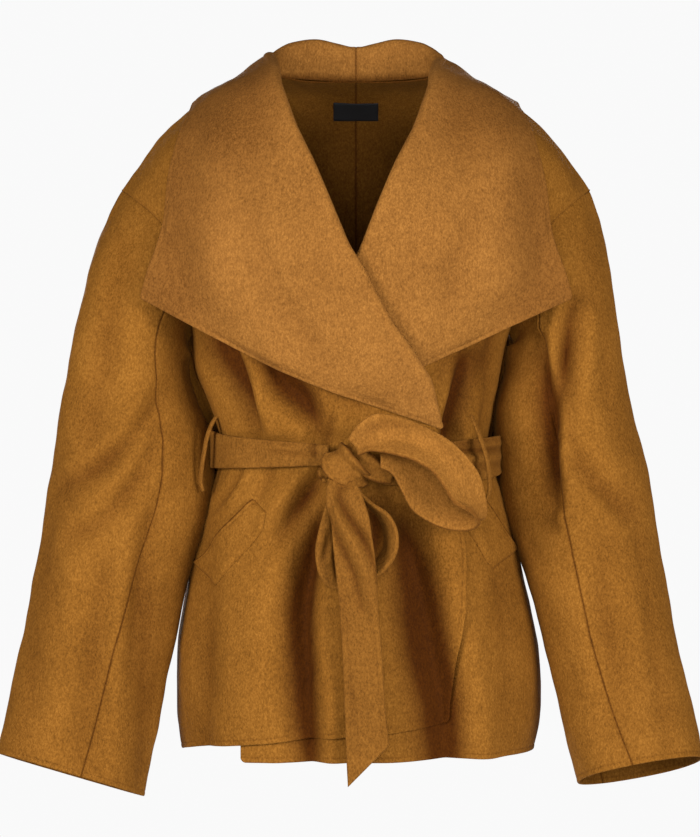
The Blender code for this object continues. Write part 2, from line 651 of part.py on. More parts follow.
def spread_over(points, layers, gap, first_rib):
    """Moves ribs away from the core of the body until they clear the layers below."""
    tree = tree_of(layers)
    need = np.zeros(points.shape[:2])
    ways = np.zeros(points.shape)
    for i in range(points.shape[0]):
        for j in range(first_rib, points.shape[1]):
            here = Vector(points[i, j])
            core = Vector((here.x * 0.75, 0.0, min(here.z, COLLAR_CORE_Z)))
            way = (here - core).normalized()
            hit = tree.ray_cast(core + way * 0.6, -way, 0.6)[0]
            ways[i, j] = way
            if hit is not None:
                need[i, j] = max(0.0, gap - (here - hit).dot(way))
    for _ in range(3):
        padded = np.pad(need, 1, mode="edge")
        near = (padded[:-2, 1:-1] + padded[2:, 1:-1] + padded[1:-1, :-2] + padded[1:-1, 2:]) / 4
        need = np.maximum(need, near)
        need[:, :first_rib] = 0
    return points + ways * need[..., None]


def add_collar(side, layers, finish):
    points = collar_ribs(side, collar_stations())
    points = spread_over(points, layers, WOOL / 2 + LAYER_GAP, FOLD_RIBS)
    points[-1, :, 0] = side * SEAM_GAP / 2
    normals = sheet_normals(points)
    normals[-1, :, 0] = 0
    normals = unit(normals)
    name = "collar_right" if side == RIGHT else "collar_left"
    return add_sheet(name, points, normals, WOOL, finish, WOOL / 2)


# The belt


def add_strip(name, rows, steps, finish, wall=BELT_WOOL):
    table = columns(STRIP_COLUMNS, rows)
    place = np.linspace(0, len(rows) - 1, steps)
    edges = [
        np.stack([follow(table[f"{edge}_{axis}"], place) for axis in "xyz"], axis=1)
        for edge in "ab"
    ]
    part = np.array([0.0, 0.5, 1.0])[None, :, None]
    points = edges[0][:, None] * (1 - part) + edges[1][:, None] * part
    return add_sheet(name, points, sheet_normals(points), wall, finish, wall / 2)


def belt_point(turn, z, lift):
    """A point on the waist, by quarter turns from the front middle round to the right."""
    turn = np.asarray(turn)
    face_back = (turn > 1) & (turn < 3)
    around_front = np.where(turn <= 1, -turn, 4 - turn)
    around_back = turn - 2
    row = np.interp(z, BODY["edge_z"][: ARMPIT_ROW + 1], np.arange(ARMPIT_ROW + 1))
    at_front = body_point(FRONT, around_front, row, lift)
    at_back = body_point(BACK, around_back, row, lift)
    return np.where(face_back[..., None], at_back, at_front)


def add_belt(finish):
    table = columns(BELT_COLUMNS, BELT_ROWS)
    turn = np.linspace(BELT_ROWS[0][0], BELT_ROWS[-1][0], 39)
    top, bottom, lift = (np.interp(turn, table["turn"], table[name]) for name in BELT_COLUMNS[1:])
    middle = (top + bottom) / 2
    inner = belt_point(turn, middle, lift)
    normals = unit(belt_point(turn, middle, lift + 0.01) - inner)
    normals[:, 2] = 0
    normals = unit(normals)
    heights = np.stack([top, middle, bottom], axis=1)
    points = np.repeat(inner[:, None], 3, axis=1)
    points[:, :, 2] = heights
    normals = np.repeat(normals[:, None], 3, axis=1)
    return add_sheet("belt_waist", points, normals, BELT_WOOL, finish, BELT_WOOL)


def add_knot(finish):
    """The knot: a rounded wrap of the belt, pulled in where the strip crosses itself."""
    rings, spokes = 8, 14
    points, faces = [], []
    cx, cy, cz = KNOT_CENTRE
    for i in range(1, rings):
        polar = math.pi * i / rings
        for j in range(spokes):
            angle = 2 * math.pi * j / spokes
            across = math.sin(polar) ** 0.8 * math.cos(angle)
            up = math.sin(polar) ** 0.8 * math.sin(angle)
            out = math.cos(polar)
            groove = 1 - 0.05 * math.cos(2 * angle - 1.0)
            points.append(
                (
                    cx + KNOT_HALF[0] * across * groove,
                    cy - KNOT_HALF[1] * out,
                    cz + KNOT_HALF[2] * up * groove,
                )
            )
    front, back = len(points), len(points) + 1
    points += [(cx, cy - KNOT_HALF[1], cz), (cx, cy + KNOT_HALF[1], cz)]
    for i in range(rings - 2):
        for j in range(spokes):
            after = (j + 1) % spokes
            faces.append(
                (i * spokes + j, i * spokes + after, (i + 1) * spokes + after, (i + 1) * spokes + j)
            )
    last = (rings - 2) * spokes
    for j in range(spokes):
        after = (j + 1) % spokes
        faces.append((front, after, j))
        faces.append((back, last + j, last + after))
    return add_solid("belt_knot", points, faces, finish)


def add_carrier(side, finish):
    table = columns(CARRIER_COLUMNS, CARRIER_ROWS[side])
    place = np.linspace(0, len(CARRIER_ROWS[side]) - 1, CARRIER_STEPS)
    path = np.stack([follow(table[axis], place) for axis in CARRIER_COLUMNS], axis=1)
    name = "carrier_right" if side == RIGHT else "carrier_left"
    curve = bpy.data.curves.new(name, "CURVE")
    curve.dimensions = "3D"
    curve.bevel_depth = CARRIER_RADIUS
    curve.bevel_resolution = 1
    curve.use_fill_caps = True
    spline = curve.splines.new("POLY")
    spline.points.add(len(path) - 1)
    for point, place_at in zip(spline.points, path):
        point.co = (*place_at, 1.0)
    made = bpy.data.objects.new(name, curve)
    bpy.context.scene.collection.objects.link(made)
    curve.materials.append(finish)
    return made


# What lies on the panels


def add_welt(side, finish):
    """A slanted welt, laid on its front panel a layer's gap out."""
    start, stop = np.array(WELT_ENDS[side])
    along = (stop - start) / np.linalg.norm(stop - start)
    down = np.array([-along[1], along[0]]) * -side
    part = np.linspace(0, 1, 11)[:, None, None]
    depth = np.interp(part, WELT_PARTS, WELT_DEPTHS) * np.linspace(0, 1, 5)[None, :, None]
    flat = start + (stop - start) * part + down * depth
    around, row = place_on_body(FRONT, flat[..., 0], flat[..., 1])
    lift = front_lift(side, around, row) + WOOL + LAYER_GAP
    points = body_point(FRONT, around, row, lift)
    name = "welt_right" if side == RIGHT else "welt_left"
    return add_sheet(name, points, body_normal(FRONT, around, row), WOOL, finish)


def add_label(finish):
    width, height, depth = LABEL_SIZE
    x = np.linspace(-width / 2, width / 2, 7)
    z = NECK_BACK_Z - LABEL_DROP - np.linspace(0, height, 3)
    x, z = np.meshgrid(x, z)
    around, row = place_on_body(BACK, x, z)
    points = body_point(BACK, around, row, -(WOOL + LAYER_GAP) * np.ones(x.shape))
    return add_sheet("neck_label", points, body_normal(BACK, around, row), depth, finish)


def main():
    clear_scene()
    wool = material("wool", WOOL_COLOR, WOOL_ROUGHNESS)
    belt_wool = material("belt_wool", BELT_COLOR, WOOL_ROUGHNESS)
    label = material("label", LABEL_COLOR, LABEL_ROUGHNESS)
    backs = [add_back(side, wool) for side in (RIGHT, LEFT)]
    sleeves = [add_sleeve(side, upper, wool) for side in (RIGHT, LEFT) for upper in (True, False)]
    front_left = add_front(LEFT, wool)
    add_collar(LEFT, [*backs, *sleeves, front_left], wool)
    front_right = add_front(RIGHT, wool)
    collar_left = bpy.data.objects["collar_left"]
    add_collar(RIGHT, [*backs, *sleeves, front_left, front_right, collar_left], wool)
    for side in (RIGHT, LEFT):
        add_welt(side, wool)
        add_carrier(side, wool)
    add_belt(belt_wool)
    add_knot(belt_wool)
    add_strip("belt_bow", BOW_ROWS, 37, belt_wool)
    add_strip("belt_low_loop", LOW_LOOP_ROWS, 24, belt_wool)
    add_strip("belt_tail", TAIL_ROWS, 17, belt_wool)
    add_strip("belt_tail_under", UNDER_TAIL_ROWS, 9, belt_wool)
    add_label(label)


main()
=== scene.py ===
"""The looks of a belted wool jacket: every panel as a thin, closed shell of brushed wool with its
folds, turned edges and seams, the knotted belt, soft studio light and a camera from the front.

Metres, +Z up, the wearer faces -Y. Folds are placed in millimetres on the picture plane through
the origin, as the camera sees them: x to the right of the origin, z up from it.
"""

import math

import bpy
import numpy as np
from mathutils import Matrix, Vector
from mathutils.bvhtree import BVHTree


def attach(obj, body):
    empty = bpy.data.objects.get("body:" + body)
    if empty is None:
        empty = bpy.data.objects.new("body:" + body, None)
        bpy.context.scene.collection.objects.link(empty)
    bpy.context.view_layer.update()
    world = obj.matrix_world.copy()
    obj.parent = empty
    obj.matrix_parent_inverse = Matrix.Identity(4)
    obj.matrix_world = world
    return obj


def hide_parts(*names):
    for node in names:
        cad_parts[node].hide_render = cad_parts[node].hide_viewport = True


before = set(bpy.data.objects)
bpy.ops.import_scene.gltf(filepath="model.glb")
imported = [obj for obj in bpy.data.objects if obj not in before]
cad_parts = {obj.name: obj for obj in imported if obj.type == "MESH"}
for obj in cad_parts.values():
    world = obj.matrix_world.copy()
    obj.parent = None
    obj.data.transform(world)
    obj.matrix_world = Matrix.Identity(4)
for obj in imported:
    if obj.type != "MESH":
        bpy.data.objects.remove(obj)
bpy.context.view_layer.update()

WOOL = 0.0022
BELT_WOOL = 0.0040
LAYER_GAP = 0.0012  # between the collar and what it lies on
LAPEL_GAP, NECK_GAP = 0.0003, 0.0006  # between the collar and the panels it is sewn to
CELL = 0.0045  # the size of the meshes' cells
# How far from a border its rows of cells come, closer together where the edge is rounded.
EDGE_MARKS = np.array([0, 0.15, 0.5, 1.1, 2.0, 3.0, 4.0, 4.8, 5.5, 6.4, 8.2]) / 1000
SEAM_MARKS = np.array([0, 0.5, 1.1, 1.9, 3.2]) / 1000

FRONT, BACK = -1, 1
RIGHT, LEFT = -1, 1  # the wearer's sides

EYE = (-0.006, -3.5, -0.3185)
LENS_MM, SENSOR_MM = 180, 36

# The body, from the hem up to the shoulder seam. The edge columns follow the side seam up to
# the armpit, and from there the armhole; the middle columns follow the centre.
BODY_COLUMNS = (
    "edge_z", "middle_z", "half_width", "shift_x",
    "front_y", "back_y", "edge_front_y", "edge_back_y", "back_fullness",
)
BODY_ROWS = (
    (-0.648, -0.648, 0.175, 0.002, -0.128, 0.122, 0.000, 0.000, 0.004),
    (-0.600, -0.600, 0.182, 0.003, -0.130, 0.124, 0.000, 0.000, 0.004),
    (-0.540, -0.540, 0.179, 0.002, -0.129, 0.122, 0.000, 0.000, 0.005),
    (-0.460, -0.460, 0.164, 0.000, -0.123, 0.112, 0.000, 0.000, 0.006),
    (-0.400, -0.400, 0.148, 0.001, -0.114, 0.101, 0.000, 0.000, 0.012),
    (-0.350, -0.350, 0.134, 0.000, -0.107, 0.091, 0.000, 0.000, 0.003),
    (-0.310, -0.310, 0.140, -0.003, -0.114, 0.097, 0.000, 0.000, 0.012),
    (-0.270, -0.270, 0.152, -0.007, -0.124, 0.108, 0.000, 0.000, 0.020),
    (-0.235, -0.235, 0.158, -0.006, -0.130, 0.116, 0.000, 0.000, 0.005),
    (-0.203, -0.180, 0.164, -0.003, -0.133, 0.120, -0.040, 0.043, 0.000),
    (-0.168, -0.110, 0.172, -0.001, -0.124, 0.118, -0.056, 0.062, 0.000),
    (-0.130, -0.040, 0.190, 0.000, -0.101, 0.106, -0.053, 0.058, 0.000),
    (-0.103, 0.010, 0.218, 0.000, -0.062, 0.070, -0.031, 0.036, 0.000),
    (-0.091, 0.028, 0.235, 0.000, 0.000, 0.000, 0.000, 0.000, 0.000),
)
ARMPIT_ROW, SHOULDER_ROW = 8, 13
LEFT_FULLNESS = 0.4  # of the back's fullness, which is more on the wearer's right
SQUARENESS = 0.13  # how far a section stands outside an ellipse at its corners
SHOULDER_POWER = 3.3  # how flat the shoulder seam stays before it falls to the armhole
# The hem of each panel, by how far round the front it is (-1 and 1 are the side seams).
HEM_AROUND = (-1.0, -0.7, -0.35, 0.0, 0.3, 0.7, 1.0)
HEM_Z = {
    RIGHT: (-0.648, -0.641, -0.634, -0.625, -0.617, -0.614, -0.614),
    LEFT: (-0.655, -0.653, -0.652, -0.651, -0.650, -0.648, -0.648),
}
HEM_FADE_ROWS = 4.0
RIDGE_ROWS = 0.6  # where the front and back turn level to meet in the shoulder seam
# The front edge of each front panel: the fold of the lapel above the belt, the free edge
# below it. The right front laps over the left one.
EDGE_Z = (
    -0.680, -0.615, -0.561, -0.512, -0.455, -0.420, -0.370, -0.345, -0.325, -0.281,
    -0.252, -0.231, -0.204, -0.176, -0.156, -0.114, -0.074, -0.040, 0.000, 0.030,
)
EDGE_X = {
    RIGHT: (
        0.095, 0.0955, 0.0985, 0.104, 0.106, 0.102, 0.095, 0.090, 0.084, 0.074,
        0.056, 0.040, 0.025, 0.0105, -0.003, -0.021, -0.039, -0.057, -0.0725, -0.076,
    ),
    LEFT: (
        -0.112, -0.112, -0.111, -0.110, -0.110, -0.108, -0.102, -0.095, -0.086, -0.072,
        -0.055, -0.040, -0.025, -0.011, 0.001, 0.018, 0.036, 0.055, 0.0705, 0.074,
    ),
}
ROLL_INSET = 0.0095  # from the fold of the lapel back to the front panel's own edge
BREAK_Z, BREAK_FADE = -0.325, 0.02  # where the lapel starts to fold back
# How far a panel stands off the form where panels lap, and from where and over what distance
# that grows: the left front to the wearer's right, the right front over it, and the right front
# over the folded left lapel, out from that lapel's fold and up from the belt.
UNDER_LIFT, UNDER_REACH = -0.0020, (-0.135, 0.030)
OVERLAP_LIFT, OVERLAP_REACH = 0.0030, (-0.150, 0.035)
LAPEL_LIFT, LAPEL_REACH, LAPEL_HEIGHT = 0.0095, (-0.045, 0.030), (-0.345, 0.020)
NECK_BACK_Z = 0.022  # the back neckline at the centre
NECK_X = 0.080  # where the collar passes the shoulder seam
# Where the back's sides blouse over and under the belt: row, over how many rows, how far.
BACK_FULL_AROUND, BACK_FULL_REACH = 0.80, 0.13
BACK_FULL_ROWS = ((7.4, 0.45, 0.016), (6.3, 0.9, 0.018), (4.05, 0.8, 0.014))

# The sleeves, from the armhole to the cuff: the outer and inner line seen from the front.
SLEEVE_COLUMNS = (
    "outer_x", "outer_z", "inner_x", "inner_z", "middle_y", "half_depth", "tilt", "twist",
)
SLEEVE_ROWS = {
    RIGHT: (
        (-0.235, -0.091, -0.173, -0.238, 0.002, 0.060, 0.00, 0.00),
        (-0.256, -0.134, -0.180, -0.248, 0.000, 0.066, 0.00, 0.03),
        (-0.270, -0.190, -0.177, -0.264, -0.003, 0.067, 0.00, 0.08),
        (-0.283, -0.253, -0.168, -0.300, -0.008, 0.066, 0.02, 0.10),
        (-0.294, -0.315, -0.157, -0.350, -0.014, 0.064, 0.04, 0.10),
        (-0.305, -0.385, -0.156, -0.413, -0.022, 0.062, 0.06, 0.06),
        (-0.315, -0.450, -0.170, -0.470, -0.030, 0.060, 0.09, 0.02),
        (-0.330, -0.533, -0.185, -0.560, -0.040, 0.056, 0.12, 0.00),
        (-0.345, -0.605, -0.199, -0.640, -0.050, 0.053, 0.14, 0.00),
        (-0.353, -0.648, -0.209, -0.690, -0.056, 0.052, 0.14, 0.00),
    ),
    LEFT: (
        (0.235, -0.091, 0.159, -0.237, 0.002, 0.060, 0.00, 0.00),
        (0.247, -0.134, 0.167, -0.247, 0.000, 0.066, 0.00, 0.03),
        (0.256, -0.190, 0.158, -0.262, -0.003, 0.067, 0.00, 0.08),
        (0.264, -0.253, 0.148, -0.300, -0.008, 0.067, 0.02, 0.10),
        (0.276, -0.315, 0.153, -0.350, -0.014, 0.066, 0.04, 0.08),
        (0.289, -0.375, 0.157, -0.405, -0.022, 0.063, 0.08, 0.08),
        (0.301, -0.445, 0.172, -0.465, -0.032, 0.060, 0.14, 0.03),
        (0.316, -0.534, 0.189, -0.548, -0.045, 0.057, 0.20, 0.00),
        (0.331, -0.605, 0.204, -0.625, -0.060, 0.055, 0.24, 0.00),
        (0.339, -0.653, 0.218, -0.675, -0.068, 0.055, 0.24, 0.00),
    ),
}
ARMHOLE_FADE_ROWS = 2.0
SLEEVE_TUCK = 0.0016  # how far a sleeve's edge goes under the armhole's
# The two seams of a sleeve, in turns round it from the outer line towards the front. The front
# one wanders from row to row.
SLEEVE_BACK_SEAM = 0.66
FRONT_SEAM_ROWS = (0, 2, 4, 5, 6, 7, 9)
FRONT_SEAM = {
    RIGHT: (0.340, 0.350, 0.350, 0.335, 0.320, 0.295, 0.280),
    LEFT: (0.350, 0.355, 0.325, 0.315, 0.315, 0.310, 0.280),
}
# Where the under-sleeve fills out towards the body: row, over how many rows, how far.
UNDERARM_TURN, UNDERARM_TURNS = 0.55, 0.12
UNDERARM_ROWS = ((1.4, 0.8, 0.016), (4.2, 1.5, 0.015), (6.0, 1.0, 0.003))

# The collar, station by station: from the end of the lapel at the belt, up the front panel's
# edge (stations are the body's rows), and round the neck (stations above the shoulder row).
# The free edge is given for the wearer's right.
COLLAR_COLUMNS = ("station", "stand", "turn", "edge_x", "edge_y", "edge_z", "bow")
COLLAR_ROWS = (
    (5.60, 0.0020, 0.0030, -0.212, -0.082, -0.201, 0.012),
    (6.75, 0.0020, 0.0032, -0.205, -0.080, -0.176, 0.012),
    (7.80, 0.0020, 0.0034, -0.196, -0.076, -0.150, 0.010),
    (8.55, 0.0020, 0.0032, -0.188, -0.072, -0.120, 0.010),
    (9.35, 0.0020, 0.0038, -0.181, -0.064, -0.090, 0.010),
    (10.25, 0.0025, 0.0048, -0.174, -0.053, -0.060, 0.010),
    (11.00, 0.0035, 0.0055, -0.169, -0.042, -0.038, 0.008),
    (12.00, 0.0070, 0.0060, -0.163, -0.021, -0.018, 0.004),
    (13.00, 0.0150, 0.0060, -0.158, 0.012, -0.012, 0.003),
    (13.90, 0.0290, 0.0060, -0.148, 0.062, -0.044, 0.006),
    (15.00, 0.0350, 0.0060, -0.112, 0.101, -0.081, 0.014),
    (16.00, 0.0320, 0.0060, -0.062, 0.116, -0.097, 0.014),
    (17.00, 0.0270, 0.0060, -0.0004, 0.119, -0.102, 0.014),
)
NECK_STATIONS = 4.0  # from the shoulder seam round the neck to the centre back
LAPEL_STATIONS = np.array([5.6, 6.3, 7, 7.6, 8, 8.5, 9, 9.6, 10.2, 10.8, 11.4, 12, 12.5, 13])
NECK_STEPS = np.array([0.3, 0.6, 0.9, 1.3, 1.8, 2.4, 3.2, 4.0])
COLLAR_CORE_Z = -0.10  # the height inside the shoulders that the collar is spread away from

# The belt round the waist, by quarter turns from the middle of the front round to the right.
BELT_COLUMNS = ("turn", "top_z", "bottom_z", "lift")
BELT_ROWS = (
    (0.10, -0.344, -0.364, 0.0120),
    (0.50, -0.337, -0.367, 0.0115),
    (1.00, -0.329, -0.368, 0.0090),
    (2.00, -0.330, -0.368, 0.0085),
    (3.00, -0.334, -0.371, 0.0090),
    (3.50, -0.339, -0.380, 0.0115),
    (3.90, -0.350, -0.383, 0.0120),
)
# Stretches of the tied belt, as the two edges of the strip, and how far each is arched.
STRIP_COLUMNS = ("a_x", "a_y", "a_z", "b_x", "b_y", "b_z")
BOW_ROWS = (
    (-0.008, -0.157, -0.338, 0.002, -0.160, -0.354),
    (0.001, -0.162, -0.325, 0.012, -0.170, -0.350),
    (0.018, -0.166, -0.314, 0.024, -0.178, -0.351),
    (0.041, -0.168, -0.317, 0.038, -0.184, -0.354),
    (0.063, -0.168, -0.325, 0.055, -0.188, -0.359),
    (0.092, -0.168, -0.342, 0.072, -0.192, -0.369),
    (0.115, -0.166, -0.368, 0.083, -0.194, -0.383),
    (0.123, -0.160, -0.392, 0.092, -0.194, -0.397),
    (0.125, -0.153, -0.408, 0.107, -0.189, -0.405),
    (0.121, -0.146, -0.415, 0.116, -0.180, -0.415),
    (0.113, -0.142, -0.411, 0.113, -0.169, -0.423),
    (0.101, -0.140, -0.397, 0.098, -0.160, -0.426),
    (0.088, -0.139, -0.381, 0.076, -0.155, -0.421),
    (0.071, -0.139, -0.366, 0.054, -0.152, -0.407),
    (0.054, -0.140, -0.355, 0.043, -0.151, -0.388),
    (0.036, -0.142, -0.350, 0.034, -0.151, -0.372),
    (0.022, -0.145, -0.348, 0.023, -0.151, -0.366),
)
BOW_ARCH, LOOP_ARCH, TAIL_ARCH = 0.003, 0.0015, -0.0015
BOW_EDGE_SHADE = (0, 0, 0, 0.8)  # painted shade along the bow's lower edge, and none on its other borders
LOW_LOOP_ROWS = (
    (0.002, -0.138, -0.386, 0.002, -0.150, -0.388),
    (0.010, -0.137, -0.400, 0.015, -0.154, -0.400),
    (0.021, -0.137, -0.412, 0.031, -0.158, -0.410),
    (0.027, -0.137, -0.427, 0.0395, -0.160, -0.427),
    (0.026, -0.137, -0.445, 0.038, -0.160, -0.448),
    (0.016, -0.137, -0.459, 0.025, -0.158, -0.466),
    (0.002, -0.138, -0.467, 0.004, -0.155, -0.478),
    (-0.009, -0.141, -0.469, -0.022, -0.147, -0.4815),
    (-0.015, -0.142, -0.458, -0.035, -0.148, -0.470),
    (-0.018, -0.143, -0.438, -0.0395, -0.149, -0.447),
    (-0.019, -0.143, -0.415, -0.036, -0.149, -0.425),
    (-0.020, -0.143, -0.394, -0.029, -0.148, -0.400),
)
TAIL_ROWS = (
    (-0.027, -0.147, -0.376, -0.001, -0.150, -0.378),
    (-0.029, -0.155, -0.391, 0.005, -0.160, -0.390),
    (-0.028, -0.159, -0.403, 0.009, -0.165, -0.402),
    (-0.024, -0.160, -0.420, 0.013, -0.168, -0.418),
    (-0.021, -0.162, -0.452, 0.017, -0.169, -0.450),
    (-0.016, -0.159, -0.500, 0.021, -0.164, -0.500),
    (-0.013, -0.152, -0.550, 0.025, -0.155, -0.550),
    (-0.011, -0.148, -0.600, 0.028, -0.150, -0.598),
    (-0.010, -0.147, -0.634, 0.031, -0.148, -0.626),
    (-0.008, -0.146, -0.672, 0.032, -0.147, -0.632),
)
UNDER_TAIL_ROWS = (
    (-0.012, -0.1440, -0.398, 0.002, -0.1440, -0.400),
    (-0.016, -0.1365, -0.425, 0.008, -0.1365, -0.425),
    (-0.015, -0.1315, -0.465, 0.013, -0.1315, -0.465),
    (-0.014, -0.1340, -0.510, 0.016, -0.1340, -0.510),
    (-0.012, -0.1385, -0.570, 0.020, -0.1385, -0.566),
    (-0.012, -0.1395, -0.604, 0.020, -0.1395, -0.572),
)
# The knot's two wraps, both from the upper left down to the right, the second under the first.
UPPER_WRAP_ROWS = (
    (-0.014, -0.1360, -0.341, -0.031, -0.1360, -0.352),
    (-0.010, -0.1490, -0.345, -0.034, -0.1460, -0.360),
    (-0.004, -0.1550, -0.353, -0.031, -0.1510, -0.370),
    (0.004, -0.1560, -0.362, -0.022, -0.1510, -0.379),
    (0.011, -0.1520, -0.370, -0.009, -0.1470, -0.384),
    (0.015, -0.1430, -0.374, 0.004, -0.1390, -0.385),
    (0.016, -0.1320, -0.376, 0.011, -0.1310, -0.383),
)
LOWER_WRAP_ROWS = (
    (-0.002, -0.1350, -0.338, -0.016, -0.1350, -0.343),
    (0.004, -0.1450, -0.343, -0.012, -0.1460, -0.352),
    (0.013, -0.1490, -0.351, -0.002, -0.1500, -0.363),
    (0.022, -0.1480, -0.360, 0.008, -0.1490, -0.373),
    (0.030, -0.1440, -0.366, 0.018, -0.1450, -0.379),
    (0.040, -0.1390, -0.368, 0.034, -0.1400, -0.381),
)
# The small end of a turn that comes out at the knot's lower left.
NUB_ROWS = (
    (-0.026, -0.1380, -0.362, -0.034, -0.1380, -0.364),
    (-0.024, -0.1450, -0.366, -0.037, -0.1450, -0.368),
    (-0.025, -0.1450, -0.372, -0.036, -0.1450, -0.374),
    (-0.028, -0.1380, -0.377, -0.033, -0.1380, -0.378),
)
KNOT_PARTS = ((UPPER_WRAP_ROWS, 0.0050), (LOWER_WRAP_ROWS, 0.0045), (NUB_ROWS, 0.0030))

# The welts: the two ends of the slanted top edge, and how deep the welt is along it.
WELT_ENDS = {
    RIGHT: ((-0.0995, -0.397), (-0.1600, -0.462)),
    LEFT: ((0.122, -0.392), (0.160, -0.449)),
}
WELT_PARTS = (0.0, 0.16, 0.85, 1.0)
WELT_DEPTHS = (0.020, 0.030, 0.031, 0.029)
WELT_CELL, WELT_WALL = 0.003, 0.0009
WELT_LOW, WELT_RISE, WELT_SLOPE = 0.0003, 0.0021, 0.005  # off the front, from its seams inwards
# How dark the welt's borders are: its sewn ends and lower edge as dark seams, its free top edge as
# painted shadow in the pocket's slit.
WELT_SEAMS_AND_SLIT_SHADE = (0.6, 0.3, 6.0, 0.3)
# The carriers: the line of each band down the side of the waist.
CARRIER_COLUMNS = ("x", "y", "z")
CARRIER_ROWS = {
    RIGHT: (
        (-0.1335, -0.050, -0.313), (-0.1405, -0.054, -0.321), (-0.1460, -0.057, -0.335),
        (-0.1495, -0.058, -0.352), (-0.1520, -0.057, -0.368), (-0.1530, -0.055, -0.380),
        (-0.1510, -0.052, -0.391),
    ),
    LEFT: (
        (0.1120, -0.092, -0.315), (0.1165, -0.097, -0.326), (0.1215, -0.0995, -0.340),
        (0.1265, -0.0985, -0.356), (0.1295, -0.0955, -0.374), (0.1300, -0.092, -0.388),
        (0.1270, -0.088, -0.399),
    ),
}
CARRIER_HALF_WIDTH, CARRIER_HALF_DEPTH = 0.0036, 0.0018
CARRIER_OUT = (-0.5, 0.0)  # it faces outwards, and this much along y and z
CARRIER_RINGS, CARRIER_CORNERS = 60, 16
CARRIER_END_POWER, CARRIER_END = 30, 0.05  # how suddenly it narrows at its ends, and to what
LABEL_SIZE = (0.046, 0.018, 0.0006)
LABEL_DROP = 0.016  # from the back neckline to the top of the label
LABEL_GAP = 0.0005
LABEL_POINTS = (24, 10)  # across and down

# Folds: how deep (a ridge is below zero), how wide on the picture's left and right of a line
# that runs down, and the line. All in millimetres on the picture plane.
# A fold's depth also darkens its cloth's colour, as painted shade.
BODY_FOLDS = (
    (11.0, 24, 30, ((-156, -226), (-110, -258), (-50, -284), (20, -306))),
    (9.5, 30, 24, ((148, -222), (124, -240), (100, -262), (86, -290))),
    (11.0, 9, 10, ((14, -400), (19, -430), (15, -466))),
    (-6.0, 5, 14, ((-104, -252), (-99, -288), (-93, -313), (-87, -338))),
    (17.0, 15, 8, ((-146, -238), (-134, -254), (-110, -298), (-99, -330))),
    (15.0, 12, 12, ((-92, -256), (-80, -285), (-54, -306), (-28, -342))),
    (4.0, 3, 5, ((-24, -308), (-26, -325), (-29, -344))),
    (5.0, 3, 4, ((-113, -362), (-124, -384), (-141, -408))),
    (-3.0, 4, 6, ((-106, -366), (-116, -388), (-131, -411))),
    (4.5, 4, 6, ((-84, -360), (-91, -382), (-102, -404))),
    (14.0, 8, 10, ((-26, -362), (-48, -388), (-66, -413), (-82, -446))),
    (-4.0, 9, 8, ((-40, -364), (-64, -388), (-82, -414), (-96, -442))),
    (24.0, 20, 11, ((-32, -408), (-45, -460), (-54, -519), (-50, -590), (-42, -700))),
    (-3.0, 9, 9, ((-24, -430), (-20, -540), (-22, -700))),
    (26.0, 34, 17, ((46, -420), (70, -490), (84, -560), (94, -630), (98, -710))),
    (20.0, 9, 12, ((118, -262), (106, -298), (98, -322), (90, -348))),
    (11.0, 10, 10, ((144, -236), (135, -290), (125, -338))),
    (4.0, 14, 18, ((120, -388), (142, -470), (152, -560), (154, -700))),
    (6.0, 14, 10, ((-152, -440), (-148, -520), (-152, -600), (-152, -700))),
    (-4.0, 18, 18, ((-110, -470), (-108, -560), (-112, -700))),
)
BACK_FOLDS = (
    (15.0, 10, 14, ((-106, -232), (-92, -280), (-84, -345))),
    (-4.0, 8, 12, ((-70, -250), (-66, -290), (-62, -345))),
    (13.0, 9, 12, ((-42, -258), (-38, -300), (-40, -345))),
    (9.0, 8, 10, ((12, -272), (8, -310), (6, -345))),
    (-4.0, 8, 9, ((34, -266), (34, -300), (36, -345))),
    (15.0, 12, 9, ((72, -242), (64, -290), (58, -345))),
    (10.0, 10, 12, ((116, -236), (106, -290), (98, -345))),
    (12.0, 9, 12, ((-96, -352), (-110, -410), (-118, -490))),
    (14.0, 12, 9, ((-40, -352), (-48, -430), (-46, -520), (-50, -640))),
    (-4.0, 12, 14, ((-16, -356), (-14, -440), (-18, -560), (-20, -700))),
    (18.0, 18, 12, ((26, -352), (34, -430), (40, -540), (38, -700))),
    (9.0, 9, 12, ((88, -352), (98, -410), (112, -510))),
    (10.0, 20, 14, ((-84, -510), (-88, -600), (-86, -700))),
    (9.0, 14, 20, ((96, -490), (100, -600), (98, -700))),
    (7.0, 10, 16, ((-138, -130), (-120, -170), (-88, -200))),
    (8.0, 16, 10, ((140, -126), (120, -168), (92, -196))),
    (5.0, 22, 22, ((-60, -60), (-30, -110), (-10, -180))),
)
SLEEVE_FOLDS = {
    RIGHT: (
        (5.0, 18, 24, ((-228, -116), (-246, -210), (-260, -300), (-268, -356))),
        (8.0, 16, 26, ((-196, -470), (-206, -560), (-212, -690))),
        (-4.0, 12, 16, ((-210, -160), (-222, -260), (-232, -350))),
        (5.0, 20, 24, ((-290, -330), (-306, -420), (-322, -520), (-334, -650))),
        (9.0, 8, 13, ((-194, -290), (-218, -330), (-258, -366), (-294, -384))),
        (8.0, 8, 13, ((-192, -328), (-216, -372), (-250, -414), (-282, -434))),
        (6.0, 16, 16, ((-250, -440), (-262, -540), (-276, -660))),
        (7.0, 9, 12, ((-200, -396), (-216, -470), (-226, -570))),
    ),
    LEFT: (
        (20.0, 22, 7, ((183, -240), (189, -280), (193, -322), (196, -360), (200, -405))),
        (15.0, 7, 14, ((216, -200), (209, -240), (204, -280), (202, -325))),
        (5.0, 18, 22, ((234, -136), (248, -230), (258, -330))),
        (5.0, 20, 22, ((268, -340), (284, -430), (298, -540), (312, -660))),
        (8.0, 10, 14, ((214, -338), (236, -380), (270, -412))),
        (6.0, 14, 16, ((240, -430), (254, -540), (270, -660))),
    ),
}
